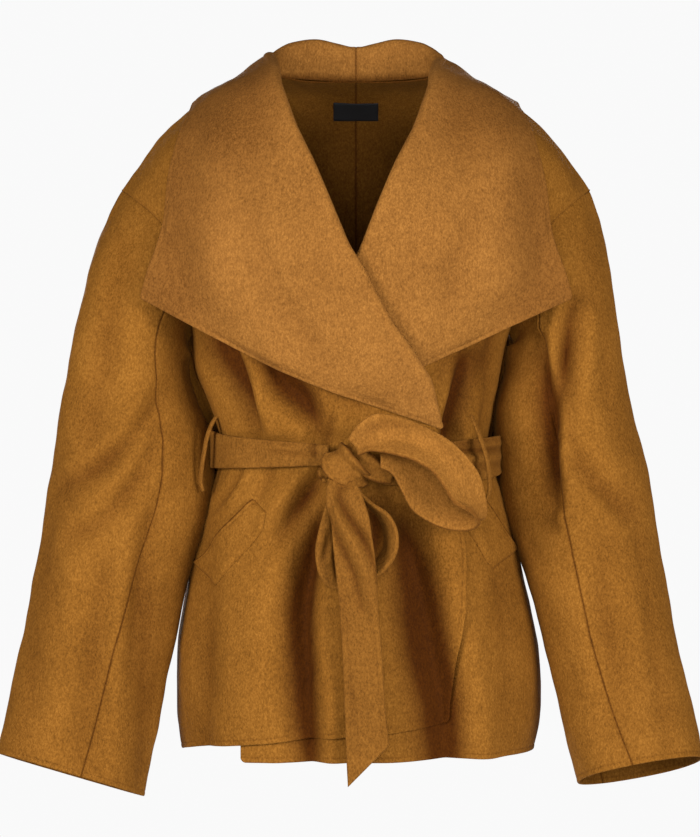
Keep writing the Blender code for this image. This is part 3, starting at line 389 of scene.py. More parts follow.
SLEEVE_BACK_FOLDS = {
    side: (
        (9.0, 14, 18, ((side * 228, -150), (side * 244, -240), (side * 252, -320))),
        (10.0, 9, 13, ((side * 190, -300), (side * 222, -345), (side * 272, -372))),
        (9.0, 9, 13, ((side * 186, -352), (side * 220, -400), (side * 276, -420))),
        (8.0, 18, 16, ((side * 240, -430), (side * 262, -540), (side * 278, -650))),
        (6.0, 14, 14, ((side * 284, -360), (side * 306, -470), (side * 322, -600))),
    )
    for side in (RIGHT, LEFT)
}
COLLAR_FOLDS = {
    RIGHT: (
        (3.0, 18, 14, ((-120, -60), (-100, -130), (-70, -200), (-30, -262))),
        (-2.0, 16, 16, ((-150, -40), (-150, -110), (-140, -180))),
        (2.0, 14, 14, ((-190, -90), (-176, -150), (-160, -200))),
    ),
    LEFT: (
        (3.0, 14, 18, ((126, -60), (112, -130), (92, -200), (84, -262))),
        (-2.0, 16, 16, ((152, -40), (156, -110), (160, -180))),
        (2.0, 14, 14, ((184, -90), (184, -140), (190, -190))),
    ),
}
BELT_FOLDS = (
    (3.6, 3, 3, ((-40, -340), (-42, -350), (-39, -362))),
    (2.6, 3, 3, ((-34, -352), (-54, -353), (-86, -351))),
    (1.8, 3, 3, ((-36, -346), (-58, -345), (-92, -342))),
    (5.0, 4, 4, ((92, -352), (112, -350), (128, -350), (146, -348))),
    (4.0, 3, 4, ((92, -344), (110, -343), (128, -341), (146, -338))),
    (3.0, 4, 4, ((92, -362), (112, -366), (128, -366), (146, -364))),
)
TAIL_FOLDS = (
    (-4.2, 5, 2.4, ((-18, -378), (-25, -389), (-24, -403), (-14, -423), (-3, -440), (5, -457),
                    (11, -473), (16, -492), (20, -530))),
    (5.0, 3.0, 6, ((-9, -380), (-17, -391), (-16, -403), (-6, -421), (5, -438), (13, -456),
                   (19, -472), (23, -492))),
    (4.5, 4, 4, ((-27, -396), (-25, -420), (-17, -440), (-8, -460), (0, -480), (6, -510))),
    (1.6, 6, 8, ((-14, -500), (-8, -560), (-2, -620), (2, -660))),
)
LOOP_FOLDS = (
    (3.0, 3, 3, ((-27, -432), (-29, -445), (-33, -459))),
    (2.6, 2.5, 2.5, ((-24, -414), (-22, -450), (-18, -486))),
)
BOW_FOLDS = (
    (3.0, 6, 8, ((8, -346), (28, -340), (50, -341), (74, -352))),
    (-2.0, 7, 6, ((6, -334), (30, -326), (60, -332), (90, -350), (108, -378))),
    (2.0, 5, 5, ((0, -348), (14, -344), (30, -350))),
)
KNOT_FOLDS = (
    (2.2, 1.8, 2.6, ((-19, -349), (-15, -358), (-5, -367), (6, -374), (13, -378))),
    (1.8, 1.8, 2.6, ((-9, -345), (-4, -354), (6, -363), (18, -371))),
    (1.6, 2.0, 2.0, ((-29, -356), (-28, -364), (-22, -372), (-14, -379))),
)


# Reading the tables


def columns(names, rows):
    return {name: np.array([row[i] for row in rows]) for i, name in enumerate(names)}


def place_in(column, value):
    """Where a rising column of a table has this value, counted in rows."""
    return np.interp(value, column, np.arange(len(column)))


def follow(values, place):
    """The value at a place counted in rows, on a smooth curve through the rows."""
    values = np.asarray(values, float)
    last = len(values) - 1
    place = np.clip(np.asarray(place, float), 0, last)
    row = np.minimum(place.astype(int), last - 1)
    fits = place.shape + (1,) * (values.ndim - 1)
    part = (place - row).reshape(fits)
    first, second = values[row], values[row + 1]
    before, after = values[np.maximum(row - 1, 0)], values[np.minimum(row + 2, last)]
    before = np.where((row > 0).reshape(fits), before, 2 * first - second)
    after = np.where((row + 2 <= last).reshape(fits), after, 2 * second - first)
    slope_in, slope_out = (second - before) / 2, (after - first) / 2
    rise = second - first
    return (
        first
        + slope_in * part
        + (3 * rise - 2 * slope_in - slope_out) * part**2
        + (slope_in + slope_out - 2 * rise) * part**3
    )


def rising(value, start, over):
    """A smooth step from 0 at the start to 1 when it has gone over that distance."""
    part = np.clip((value - start) / over, 0, 1)
    return part * part * (3 - 2 * part)


def hill(value, middle, reach):
    """A smooth hill, 1 high in the middle."""
    return np.exp(-(((value - middle) / reach) ** 2))


def hills(row, table):
    """The sum of a table's hills: at which row, over how many rows, how high."""
    return sum(height * hill(row, middle, reach) for middle, reach, height in table)


def unit(vectors):
    return vectors / np.maximum(np.linalg.norm(vectors, axis=-1, keepdims=True), 1e-12)


BODY = columns(BODY_COLUMNS, BODY_ROWS)
SLEEVES = {side: columns(SLEEVE_COLUMNS, rows) for side, rows in SLEEVE_ROWS.items()}
COLLAR = columns(COLLAR_COLUMNS, COLLAR_ROWS)


# The form of the body


def section(around, squareness=SQUARENESS):
    """Across and forward on a section of unit size, for -1 to 1 from side to side."""
    angle = np.asarray(around) * math.pi / 2
    wide = np.sin(angle) * (1 + squareness * np.cos(angle) ** 2)
    deep = np.cos(angle) * (1 + squareness * np.sin(angle) ** 2)
    return wide, deep


AROUND_STEPS = np.linspace(-1, 1, 401)
WIDE_STEPS = section(AROUND_STEPS)[0]
SLOPE_STEP = 0.004  # rows, and parts of the way round, over which a slope is measured
EDGE_TRIES, PLACE_TRIES = 30, 40  # rounds that bring a search near enough to its answer


def body_surface(face, around, row, hem=None):
    """Points on the body's front or back. hem is the side whose hem line the panel follows."""
    around, row = np.broadcast_arrays(np.asarray(around, float), np.asarray(row, float))
    wide, deep = section(around)
    name = "front" if face == FRONT else "back"
    edge_y = follow(BODY[f"edge_{name}_y"], row) * (row > ARMPIT_ROW)
    middle_y = follow(BODY[f"{name}_y"], row)
    middle_z, edge_z = follow(BODY["middle_z"], row), follow(BODY["edge_z"], row)
    x = follow(BODY["half_width"], row) * wide + follow(BODY["shift_x"], row) * wide**2
    if face == BACK:
        full = follow(BODY["back_fullness"], row) * np.where(around < 0, 1, LEFT_FULLNESS)
        x = x + full * np.sign(around) * np.sin(math.pi * around**3) ** 2
    y = edge_y + (middle_y - edge_y) * deep
    z = middle_z + (edge_z - middle_z) * np.abs(wide) ** SHOULDER_POWER
    if hem is not None:
        fade = np.clip(1 - row / HEM_FADE_ROWS, 0, 1) ** 2
        z = z + (np.interp(around, HEM_AROUND, HEM_Z[hem]) - BODY_ROWS[0][0]) * fade
    return np.stack([x, y, z], axis=-1)


def slopes_normal(surface, around, row, step, last_row):
    """The normals of a surface of around and row, from its slopes over a small step."""
    low, high = np.clip(row - step, 0, None), np.clip(row + step, None, last_row)
    across = surface(around + step, row) - surface(around - step, row)
    return unit(np.cross(across, surface(around, high) - surface(around, low)))


def body_normal(face, around, row, hem=None):
    around, row = np.broadcast_arrays(np.asarray(around, float), np.asarray(row, float))

    def surface(around, row):
        return body_surface(face, around, row, hem)

    normal = slopes_normal(surface, around, row, SLOPE_STEP, SHOULDER_ROW) * -face
    normal[..., 1] *= np.clip((SHOULDER_ROW - row) / RIDGE_ROWS, 0, 1)
    return unit(normal)


def body_point(face, around, row, lift=0.0, hem=None):
    """Points on the body's outer surface, moved out by lift along its normal."""
    points = body_surface(face, around, row, hem)
    return points + body_normal(face, around, row, hem) * np.asarray(lift)[..., None]


def around_at(x, row):
    """How far round a section passes a given x."""
    half, shift = follow(BODY["half_width"], row), follow(BODY["shift_x"], row)
    wide = 2 * x / (half + np.sqrt(np.maximum(half**2 + 4 * shift * x, 0)))
    return np.interp(wide, WIDE_STEPS, AROUND_STEPS)


def place_on_body(face, x, z):
    """How far round, and at which row, the body's surface passes a point seen from the front."""
    x, z = np.broadcast_arrays(np.asarray(x, float), np.asarray(z, float))
    low, high = np.zeros(x.shape), np.full(x.shape, float(SHOULDER_ROW))
    for _ in range(PLACE_TRIES):
        row = (low + high) / 2
        around = around_at(x, row)
        below = body_surface(face, around, row)[..., 2] < z
        low, high = np.where(below, row, low), np.where(below, high, row)
    return around, row


def front_edge(side, row):
    """How far round the front the panel's edge is, row by row."""
    around = np.zeros(np.shape(row))
    for _ in range(EDGE_TRIES):
        z = body_surface(FRONT, around, row)[..., 2]
        fold = np.interp(z, EDGE_Z, EDGE_X[side])
        inset = ROLL_INSET * rising(z, BREAK_Z - BREAK_FADE, BREAK_FADE)
        around = (around + around_at(fold + side * inset, row)) / 2
    return around


def front_lift(side, around, row):
    """How far a front panel stands off the form where the two fronts lap over each other."""
    points = body_surface(FRONT, around, row)
    x, z = points[..., 0], points[..., 2]
    if side == LEFT:
        return UNDER_LIFT * rising(-x, *UNDER_REACH)
    fold = np.interp(z, EDGE_Z, EDGE_X[LEFT])
    over_lapel = rising(x - fold, *LAPEL_REACH) * rising(z, *LAPEL_HEIGHT)
    return OVERLAP_LIFT * rising(x, *OVERLAP_REACH) + (LAPEL_LIFT - OVERLAP_LIFT) * over_lapel


# Grids of points


def run(points, axis):
    """Each point's distance along the grid from its first line, and from its last."""
    steps = np.linalg.norm(np.diff(points, axis=axis), axis=-1)
    gone = np.insert(np.cumsum(steps, axis=axis), 0, 0, axis=axis)
    return gone, gone.take([-1], axis) - gone


def marked(lengths, first, last, cell):
    """Places along lines of these lengths: marks near both ends, and even steps between."""
    lengths = np.atleast_1d(lengths)[:, None]
    count = max(2, round(float(lengths.max() - first[-1] - last[-1]) / cell))
    even = np.linspace(0, 1, count + 1)[None, 1:-1]
    start = np.repeat(first[None, :], len(lengths), axis=0)
    middle = first[-1] + (lengths - first[-1] - last[-1]) * even
    return np.concatenate([start, middle, lengths - last[None, ::-1]], axis=1)


def parts_at(points, first, last, cell=CELL):
    """How far along each line of points, from 0 to 1, its marks and steps come."""
    gone = run(points, 1)[0]
    marks = marked(gone[:, -1], first, last, cell)
    even = np.linspace(0, 1, points.shape[1])
    return np.stack([np.interp(mark, line, even) for mark, line in zip(marks, gone)])


def sheet_normals(points):
    return unit(np.cross(np.gradient(points, axis=0), np.gradient(points, axis=1)))


def rounded_corner(points, row_end, col_end, radius):
    """Rounds one corner of a grid: row_end and col_end are 0 or -1."""
    from_row, from_col = run(points, 0)[row_end], run(points, 1)[col_end]
    a, b = np.clip(radius - from_row, 0, None), np.clip(radius - from_col, 0, None)
    reach = np.hypot(a, b)
    scale = np.where(reach > 0, np.maximum(a, b) / np.maximum(reach, 1e-9), 1)
    to_row = unit(np.gradient(points, axis=0)) * (-1 if row_end == 0 else 1)
    to_col = unit(np.gradient(points, axis=1)) * (-1 if col_end == 0 else 1)
    return points + (to_row * a[..., None] + to_col * b[..., None]) * (scale - 1)[..., None]


# Folds

MOST_RISE = 0.006  # the most that folds together raise the cloth
FOLD_POWER = 1.35  # how sharp the bottom of a fold is
BESIDE, BESIDE_AT, BESIDE_REACH = 0.26, 1.9, 0.75  # the ridge that a fold raises beside it
FACING = 0.45  # cloth that faces the camera less than this takes less of a fold
STRIP_FACING = 1 / 3  # and on the belt's strips, whose inside has its folds the other way
FOLD_STEPS = 6  # the steps of a fold's line from one of its points to the next
FOLD_START, FOLD_SPAN = 0.06, 0.88  # the stretch of a sine that a fold's depth follows
SLOW_RISE, QUICK_RISE = 0.0011, 0.00030  # of the unevenness of soft cloth


def seen(points):
    """Where the camera sees points, in millimetres on the picture plane."""
    scale = EYE[1] / (EYE[1] - points[..., 1])
    x = EYE[0] + (points[..., 0] - EYE[0]) * scale
    z = EYE[2] + (points[..., 2] - EYE[2]) * scale
    return x * 1000, z * 1000


def beside_line(x, z, line):
    """How far points are from a line, on which side of it, and how far along it."""
    nearest = np.full(x.shape, 1e9)
    side, part = np.zeros(x.shape), np.zeros(x.shape)
    for i, (start, stop) in enumerate(zip(line[:-1], line[1:])):
        way = stop - start
        from_x, from_z = x - start[0], z - start[1]
        along = np.clip((from_x * way[0] + from_z * way[1]) / (way @ way), 0, 1)
        gap = np.hypot(from_x - along * way[0], from_z - along * way[1])
        closer = gap < nearest
        nearest = np.where(closer, gap, nearest)
        side = np.where(closer, way[0] * from_z - way[1] * from_x, side)
        part = np.where(closer, (i + along) / (len(line) - 1), part)
    return nearest, side, part


def folds(points, normals, table, face, both=False):
    """How far the folds of a table move points of that face along their normals."""
    x, z = seen(points)
    facing = normals[..., 1] * face
    weight = np.clip(facing / STRIP_FACING, -1, 1) if both else rising(facing, 0, FACING)
    move = np.zeros(x.shape)
    for depth, left, right, path in table:
        line = follow(path, np.linspace(0, len(path) - 1, len(path) * FOLD_STEPS))
        nearest, side, part = beside_line(x, z, line)
        reach = nearest / np.where(side > 0, right, left)
        taper = np.sqrt(np.clip(np.sin(math.pi * (FOLD_START + FOLD_SPAN * part)), 0, 1))
        if depth > 0:
            form = np.exp(-(reach**FOLD_POWER)) - BESIDE * hill(reach, BESIDE_AT, BESIDE_REACH)
        else:
            form = hill(reach, 0, 1)
        move -= depth / 1000 * taper * form
    move = np.where(move > 0, MOST_RISE * np.tanh(move / MOST_RISE), move)
    return move * weight


def wander(points):
    """The slight unevenness of soft cloth: slow and quick waves, in radians to a metre."""
    x, y, z = (points[..., i] for i in range(3))
    slow = np.sin(71 * x + 23 * z + 1.3 * np.sin(31 * y)) * np.sin(43 * z - 37 * y + 0.8)
    quick = np.sin(190 * x - 120 * y + 2.1) * np.sin(160 * z + 90 * x)
    return SLOW_RISE * slow + QUICK_RISE * quick


# Shells

SEAM_DIP, SEAM_REACH = 0.0007, 0.0011
LINE_DARK = 0.75  # how dark a seam is, where the painted shade at the bottom of the deepest fold is 1
GROOVE_DARK = 0.8  # and the line beside a turned edge, as a share of a seam's
LINE_AT, LINE_DEPTH, LINE_REACH = 0.0051, 0.00045, 0.0008
ROLL_AT, ROLL_RISE, ROLL_REACH = 0.0024, 0.00035, 0.0016
ROUNDED = 0.94  # the share of half a wall that a free edge is rounded off by
# how the painted shade in a fold grows with the fold's depth
FOLD_SHADE_POWER = 1.2
ALL_FREE = (1.0, 1.0, 1.0, 1.0)


def shell(
    points, normals, move, wall, free, outside=0.0, turned=0.5, dark=None, dark_at=0.014, tone=0.0
):
    """The outer and inner grids of a wall of cloth, and how dark each point is: its seams, the
    lines beside its turned edges, and painted shade in its folds and along some borders.

    free says for the first row, last row, first column and last column how much it is a free,
    turned edge (1) or a seam (0), and dark says how dark the same borders are, as dark seams or as
    painted shade. outside is how far the outer face lies off the points, turned how plain the
    turned edges are, dark_at how deep a fold is where its painted shade is darkest, and tone how
    much painted shade the cloth has at least."""
    outer = outside + move
    inner = outer - wall
    # Painted shade: the deeper a fold sinks, the darker its cloth, darkest at the depth dark_at;
    # tone is painted shade that the cloth has at least.
    line = np.maximum(tone, np.clip(-move / dark_at, 0, 1) ** FOLD_SHADE_POWER)
    if dark is None:
        dark = [1 - loose for loose in free]
    round_in = np.zeros(move.shape)
    half = wall / 2
    for distance, loose, darkness in zip([*run(points, 0), *run(points, 1)], free, dark):
        bend = half * (1 - np.sqrt(np.clip(1 - np.clip(1 - distance / half, 0, 1) ** 2, 0, 1)))
        round_in = np.maximum(round_in, loose * bend * ROUNDED)
        seam = hill(distance, 0, SEAM_REACH)
        groove = hill(distance, LINE_AT, LINE_REACH) * loose
        roll = hill(distance, ROLL_AT, ROLL_REACH) * loose
        outer = outer + (ROLL_RISE * roll - LINE_DEPTH * groove) * turned
        outer = outer - SEAM_DIP * seam * (1 - loose)
        # A border's darkness: a dark seam, or painted shade along the border where dark asks for
        # it.
        border = np.clip(seam * darkness, 0, 1)
        line = np.maximum(line, LINE_DARK * np.maximum(border, groove * GROOVE_DARK * turned))
    grids = (
        points + normals * reach[..., None] for reach in (outer - round_in, inner + round_in)
    )
    return (*grids, line)


def grid_faces(rows, cols, base=0):
    index = np.arange(rows * cols).reshape(rows, cols) + base
    return np.stack(
        [index[:-1, :-1], index[:-1, 1:], index[1:, 1:], index[1:, :-1]], axis=-1
    ).reshape(-1, 4)


def shell_mesh(outer, inner):
    """The points and faces of a shell: both grids, and the rim that joins them."""
    rows, cols = outer.shape[:2]
    count = rows * cols
    index = np.arange(count).reshape(rows, cols)
    rim = np.concatenate([index[0], index[1:, -1], index[-1, -2::-1], index[-2:0:-1, 0]])
    after = np.roll(rim, -1)
    sides = np.stack([rim, rim + count, after + count, after], axis=1)
    front = grid_faces(rows, cols)
    back = grid_faces(rows, cols, count)[:, ::-1]
    points = np.concatenate([outer.reshape(-1, 3), inner.reshape(-1, 3)])
    return points, outward_faces(points, np.concatenate([front, back, sides]))


def outward_faces(points, faces):
    """The faces of a closed mesh, turned round if they look inwards."""
    a, b, c, d = (points[faces[:, i]] for i in range(4))
    volume = np.sum(a * np.cross(b, c)) + np.sum(a * np.cross(c, d))
    return faces[:, ::-1] if volume < 0 else faces


def add_piece(node, points, faces, line, finish):
    """One piece of cloth that stands for a node.

    line says how dark each point is, from dark seams and painted shade, and finish is the piece's
    slot and material."""
    name = f"{node}_cloth"
    mesh = bpy.data.meshes.new(name)
    mesh.from_pydata(points.tolist(), [], faces.tolist())
    mesh.update()
    # line carries the dark seams and the painted shade into the wool's colour
    mesh.attributes.new("line", "FLOAT", "POINT").data.foreach_set("value", line)
    mesh.materials.append(finish[1])
    mesh.shade_smooth()
    made = bpy.data.objects.new(name, mesh)
    bpy.context.scene.collection.objects.link(made)
    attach(made, "root")
    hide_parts(node)
    return made


def measure(outer, inner):
    """The width, length and area of a shell's cloth laid flat."""
    points = (outer + inner) / 2
    length, width = run(points, 0)[0][-1].max(), run(points, 1)[0][:, -1].max()
    a, b = points[1:, 1:] - points[:-1, :-1], points[1:, :-1] - points[:-1, 1:]
    area = np.linalg.norm(np.cross(a, b), axis=-1).sum() / 2
    return float(width), float(length), float(area)


def add_cloth(node, points, normals, move, wall, free, finish, held, rests_on=(), **shape):
    """A shell that stands for a node."""
    outer, inner, line = shell(points, normals, move, wall, free, **shape)
    made = add_piece(
        node, *shell_mesh(outer, inner), np.concatenate([line.ravel()] * 2), finish
    )
    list(measure(outer, inner))
    return made


# Panels

DENSE = np.linspace(0, 1, 200)[None, :]
TOP_ROW = SHOULDER_ROW - 0.004
BODY_SAMPLES = 600  # of the line that the body's rows are spaced along
ROW_AROUND = 0.45  # where round the front the steps between the body's rows are even
FRONT_CORNER = 0.006
FREE_ROWS = (5.4, 0.4)  # from here up and over how many rows the front edge becomes a seam
NECK_AROUND = float(
    np.interp(NECK_X / BODY_ROWS[SHOULDER_ROW][2], WIDE_STEPS, AROUND_STEPS)
)
NECK_POWER = 2.5  # how flat the back neckline is in the middle


def body_rows(top, first, last):
    """Rows of the body at even steps up its surface."""
    dense = np.linspace(0, top, BODY_SAMPLES)
    line = body_surface(FRONT, ROW_AROUND, dense)[None]
    return (parts_at(line, first, last)[0] * top)[:, None]


def spread(surface, start, stop, rows, first, last):
    """How far round a panel its points are, row by row: marks near its borders, then steps."""
    sample = surface(start + (stop - start) * DENSE, rows)
    return start + (stop - start) * parts_at(sample, first, last)


def side_name(name, side):
    return f"{name}_right" if side == RIGHT else f"{name}_left"


def add_front(side, finish):
    def surface(around, row):
        return body_surface(FRONT, around, row, side)

    rows = body_rows(TOP_ROW, EDGE_MARKS, SEAM_MARKS)
    around = spread(surface, front_edge(side, rows), side, rows, EDGE_MARKS, SEAM_MARKS)
    row = np.broadcast_to(rows, around.shape)
    points = body_point(FRONT, around, row, front_lift(side, around, row), side)
    normals = body_normal(FRONT, around, row, side)
    points = rounded_corner(points, 0, 0, FRONT_CORNER)
    move = folds(points, normals, BODY_FOLDS, FRONT) + wander(points)
    free_edge = 1 - rising(row, *FREE_ROWS)
    return add_cloth(
        side_name("front", side), points, normals, move, WOOL, (1.0, 0.0, free_edge, 0.0),
        finish, "draped",
    )


def back_top(around):
    """The row of the back panel's upper edge: the shoulder seam, and the neckline inside it."""
    _, neck_row = place_on_body(BACK, 0.0, NECK_BACK_Z)
    inside = np.clip(np.abs(around) / NECK_AROUND, 0, 1)
    return neck_row + (TOP_ROW - neck_row) * inside**NECK_POWER


def back_row(around, row):
    """The back's rows, drawn together above the armpit so that they end at its upper edge."""
    above = np.clip((row - ARMPIT_ROW) / (SHOULDER_ROW - ARMPIT_ROW), 0, 1)
    return np.where(row <= ARMPIT_ROW, row, ARMPIT_ROW + (back_top(around) - ARMPIT_ROW) * above)


def add_back(side, finish):
    def surface(around, row):
        return body_surface(BACK, around, back_row(around, row))

    rows = body_rows(SHOULDER_ROW, EDGE_MARKS, SEAM_MARKS)
    around = spread(surface, 0, side, rows, SEAM_MARKS, SEAM_MARKS)
    row = back_row(around, np.broadcast_to(rows, around.shape))
    points = body_surface(BACK, around, row)
    normals = body_normal(BACK, around, row)
    move = folds(points, normals, BACK_FOLDS, BACK) + wander(points)
    beside = hill(np.abs(around), BACK_FULL_AROUND, BACK_FULL_REACH)
    move = move + beside * hills(row, BACK_FULL_ROWS)
    return add_cloth(
        side_name("back", side), points, normals, move, WOOL, (1.0, 0.0, 0.0, 0.0), finish,
        "draped",
    )


# Sleeves

SLEEVE_STEP = 0.003  # rows, and turns, over which a slope is measured
SLEEVE_SAMPLES = 400
ROW_TURN = 0.15  # where round a sleeve the steps between its rows are even
TUCK = (0.7, 0.0, 0.7)  # the way a sleeve's edge goes under the armhole's: inwards and up
TUCK_ROWS = 0.12
CALM_ROWS = 0.8  # over which the folds grow from the armhole


def armhole_point(side, turn):
    """The armhole, by turns from the shoulder down the front to the armpit and up the back."""
    row = SHOULDER_ROW - (SHOULDER_ROW - ARMPIT_ROW) * (1 - np.abs(1 - 2 * turn))
    edge = np.full(row.shape, float(side))
    at_front, at_back = (body_surface(face, edge, row) for face in (FRONT, BACK))
    return np.where((turn < 0.5)[..., None], at_front, at_back)


def sleeve_ring(side, turn, row):
    """Points on the rings round the arm, by turns from the outer line towards the front."""
    table = {name: follow(column, row) for name, column in SLEEVES[side].items()}
    wide, deep = section(4 * turn, SQUARENESS / 2)[::-1]
    forward = -table["half_depth"] * deep
    x, z = (
        (table[f"outer_{axis}"] + table[f"inner_{axis}"]) / 2
        + (table[f"outer_{axis}"] - table[f"inner_{axis}"]) / 2 * wide
        for axis in "xz"
    )
    x = x - side * table["twist"] * forward
    return np.stack([x, table["middle_y"] + forward, z - table["tilt"] * forward], axis=-1)


def sleeve_point(side, turn, row):
    """Points on a sleeve: rings round the arm that grow out of the armhole's own line."""
    turn, row = np.broadcast_arrays(np.asarray(turn, float), np.asarray(row, float))
    turn = np.mod(turn, 1.0)
    from_armhole = armhole_point(side, turn) - sleeve_ring(side, turn, np.zeros(row.shape))
    weight = 1 - rising(row, 0, ARMHOLE_FADE_ROWS)
    tuck = np.array(TUCK) * (-side, 1, 1) * SLEEVE_TUCK * (1 - rising(row, 0, TUCK_ROWS))[..., None]
    return sleeve_ring(side, turn, row) + from_armhole * weight[..., None] + tuck


def add_sleeve(side, upper, finish):
    def surface(turn, row):
        return sleeve_point(side, turn, row)

    last = len(SLEEVE_ROWS[side]) - 1
    line = surface(ROW_TURN, np.linspace(0, last, SLEEVE_SAMPLES))[None]
    rows = (parts_at(line, SEAM_MARKS, EDGE_MARKS)[0] * last)[:, None]
    start, stop = np.interp(rows, FRONT_SEAM_ROWS, FRONT_SEAM[side]), SLEEVE_BACK_SEAM
    if upper:
        start, stop = SLEEVE_BACK_SEAM - 1, start
    turn = spread(surface, start, stop, rows, SEAM_MARKS, SEAM_MARKS)
    row = np.broadcast_to(rows, turn.shape)
    points = surface(turn, row)
    normals = slopes_normal(surface, turn, row, SLEEVE_STEP, last) * side
    move = folds(points, normals, SLEEVE_FOLDS[side], FRONT) + wander(points)
    move = move + folds(points, normals, SLEEVE_BACK_FOLDS[side], BACK)
    move = move * rising(row, 0, CALM_ROWS)
    move = move + hill(turn, UNDERARM_TURN, UNDERARM_TURNS) * hills(row, UNDERARM_ROWS)
    node = side_name("sleeve", side) + ("_upper" if upper else "_under")
    return add_cloth(node, points, normals, move, WOOL, (0.0, 1.0, 0.0, 0.0), finish, "draped")


# The collar

TURN_STEPS, STAND_STEPS = 10, 5
COLLAR_SAMPLES = 500  # of the free edge that the collar's stations are spaced along
FRAME_BLURS = 2
UPRIGHT = (0.002, 0.016)  # a stand over this turns upright, and is so when that much higher
CORE_SHARE = 0.75  # how far out the core under a point is, as a share of the point's own x
FAR = 0.6  # outside everything that the collar lies on
CLEAR_REACH, CLEAR_RIBS = 4, 6  # how softly the collar rises over what it lies on
COLLAR_CORNER = 0.004
BREAST_Z = -0.20  # below it the left lapel lies hidden under the right front, and folds with it
UNDER_SINK, UNDER_FADE = 0.004, 0.015  # how far back it goes, and over what width
LAPEL_SAG = {RIGHT: 0.010, LEFT: 0.003}  # how far the lapel's lower edge curves down
SAG_REACH, SAG_POWER = 0.075, 1.2
OUTER_RIB = -20  # a rib that lies outside the core all the way
FALL_RIBS = 12  # past the fold, over which the collar's own folds start
BACK_RIDGE, BACK_RIDGE_REACH = 0.0016, 0.0042  # the raised seam down the collar's middle
LAPEL_SHADE = 0.40  # painted shade: how much darker the lapel is towards its outer edge and its top
LAPEL_OUTER = (0.115, 0.065)  # where that starts, out from the middle, and over what width
LAPEL_TOP = (-0.115, 0.095)  # and the same by height
LAPEL_TOP_OUT = (0.055, 0.050)  # and where its top darkens, out from the middle


def collar_seam(side, stations):
    """Where the collar is sewn on: the front panel's edge, then the back neckline."""
    front = stations <= SHOULDER_ROW
    rows = np.minimum(stations[front], TOP_ROW)
    at_front = front_edge(side, rows)
    lift = front_lift(side, at_front, rows) - WOOL / 2
    part = 1 - (stations[~front] - SHOULDER_ROW) / NECK_STATIONS
    at_back = side * NECK_AROUND * part
    back_rows = back_top(at_back)
    back_lift = np.full(at_back.shape, -WOOL / 2)
    points = (
        body_point(FRONT, at_front, rows, lift, side),
        body_point(BACK, at_back, back_rows, back_lift),
    )
    normals = body_normal(FRONT, at_front, rows, side), body_normal(BACK, at_back, back_rows)
    return np.concatenate(points), np.concatenate(normals)


def blurred(values, rounds=1):
    for _ in range(rounds):
        padded = np.concatenate([values[:1], values, values[-1:]])
        values = (padded[:-2] + 2 * values + padded[2:]) / 4
    return values


def collar_frame(side):
    """The way the collar rises from its seam, and the way it leans out, station by station."""
    stations = np.concatenate([LAPEL_STATIONS, SHOULDER_ROW + NECK_STEPS])
    seam, outward = collar_seam(side, stations)
    stand = follow(COLLAR["stand"], place_in(COLLAR["station"], stations))
    rise = unit(np.cross(unit(np.gradient(seam, axis=0)), outward) * -side)
    upright = rising(stand, *UPRIGHT)[:, None]
    rise = unit(rise * (1 - upright) + np.array([0.0, 0.0, 1.0]) * upright)
    outward = unit(outward - rise * np.sum(outward * rise, axis=1, keepdims=True))
    for _ in range(FRAME_BLURS):
        rise, outward = unit(blurred(rise)), unit(blurred(outward))
    return stations, rise, outward


def core_of(points):
    """The place inside the body that the collar is spread away from."""
    x, y, z = (points[..., i] for i in range(3))
    return np.stack([x * CORE_SHARE, y * 0, np.minimum(z, COLLAR_CORE_Z)], axis=-1)


def collar_grid(side):
    """The collar's middle surface: ribs from its seam, over the fold, to the free edge."""
    marks, rises, outwards = collar_frame(side)
    dense = place_in(COLLAR["station"], np.linspace(marks[0], marks[-1], COLLAR_SAMPLES))
    free = np.stack([follow(COLLAR[f"edge_{axis}"], dense) for axis in "xyz"], axis=1)
    part = parts_at(free[None], EDGE_MARKS, SEAM_MARKS)[0]
    stations = marks[0] + (marks[-1] - marks[0]) * part
    at_mark = place_in(marks, stations)
    rise, outward = unit(follow(rises, at_mark)), unit(follow(outwards, at_mark))
    place = place_in(COLLAR["station"], stations)
    row = {name: follow(COLLAR[name], place) for name in COLLAR_COLUMNS}
    seam = collar_seam(side, stations)[0]
    at_neck = np.clip(stations - SHOULDER_ROW + 1, 0, 1)[:, None]
    gap = LAPEL_GAP + (NECK_GAP - LAPEL_GAP) * at_neck
    stand = row["stand"][:, None]
    ribs = [seam + rise * (gap + stand * part) for part in np.linspace(0, 1, STAND_STEPS)[:-1]]
    for angle in np.linspace(0, math.pi, TURN_STEPS):
        lean = rise * math.sin(angle) + outward * (1 - math.cos(angle))
        ribs.append(seam + rise * (gap + stand) + lean * row["turn"][:, None])
    start = ribs[-1]
    free = np.stack([row["edge_x"] * -side, row["edge_y"], row["edge_z"]], axis=1)
    middle = (start + free) / 2
    bulge = (unit(middle - core_of(middle)) * row["bow"][:, None])[:, None]
    fall = np.linalg.norm(free - start, axis=1)
    parts = marked(fall, np.array([0.0]), EDGE_MARKS, CELL)[:, 1:] / fall[:, None]
    parts = parts[..., None]
    lay = start[:, None] * (1 - parts) + free[:, None] * parts + bulge * 4 * parts * (1 - parts)
    grid = np.concatenate([np.stack(ribs, axis=1), lay], axis=1)
    sag = hill(run(grid, 0)[0][:, -1:], 0, SAG_REACH) * LAPEL_SAG[side]
    across = run(grid, 1)[0] / run(grid, 1)[0][:, -1:]
    grid[..., 2] -= sag * np.sin(math.pi * np.clip(across, 0, 1)) ** SAG_POWER
    return rounded_corner(grid, 0, -1, COLLAR_CORNER)


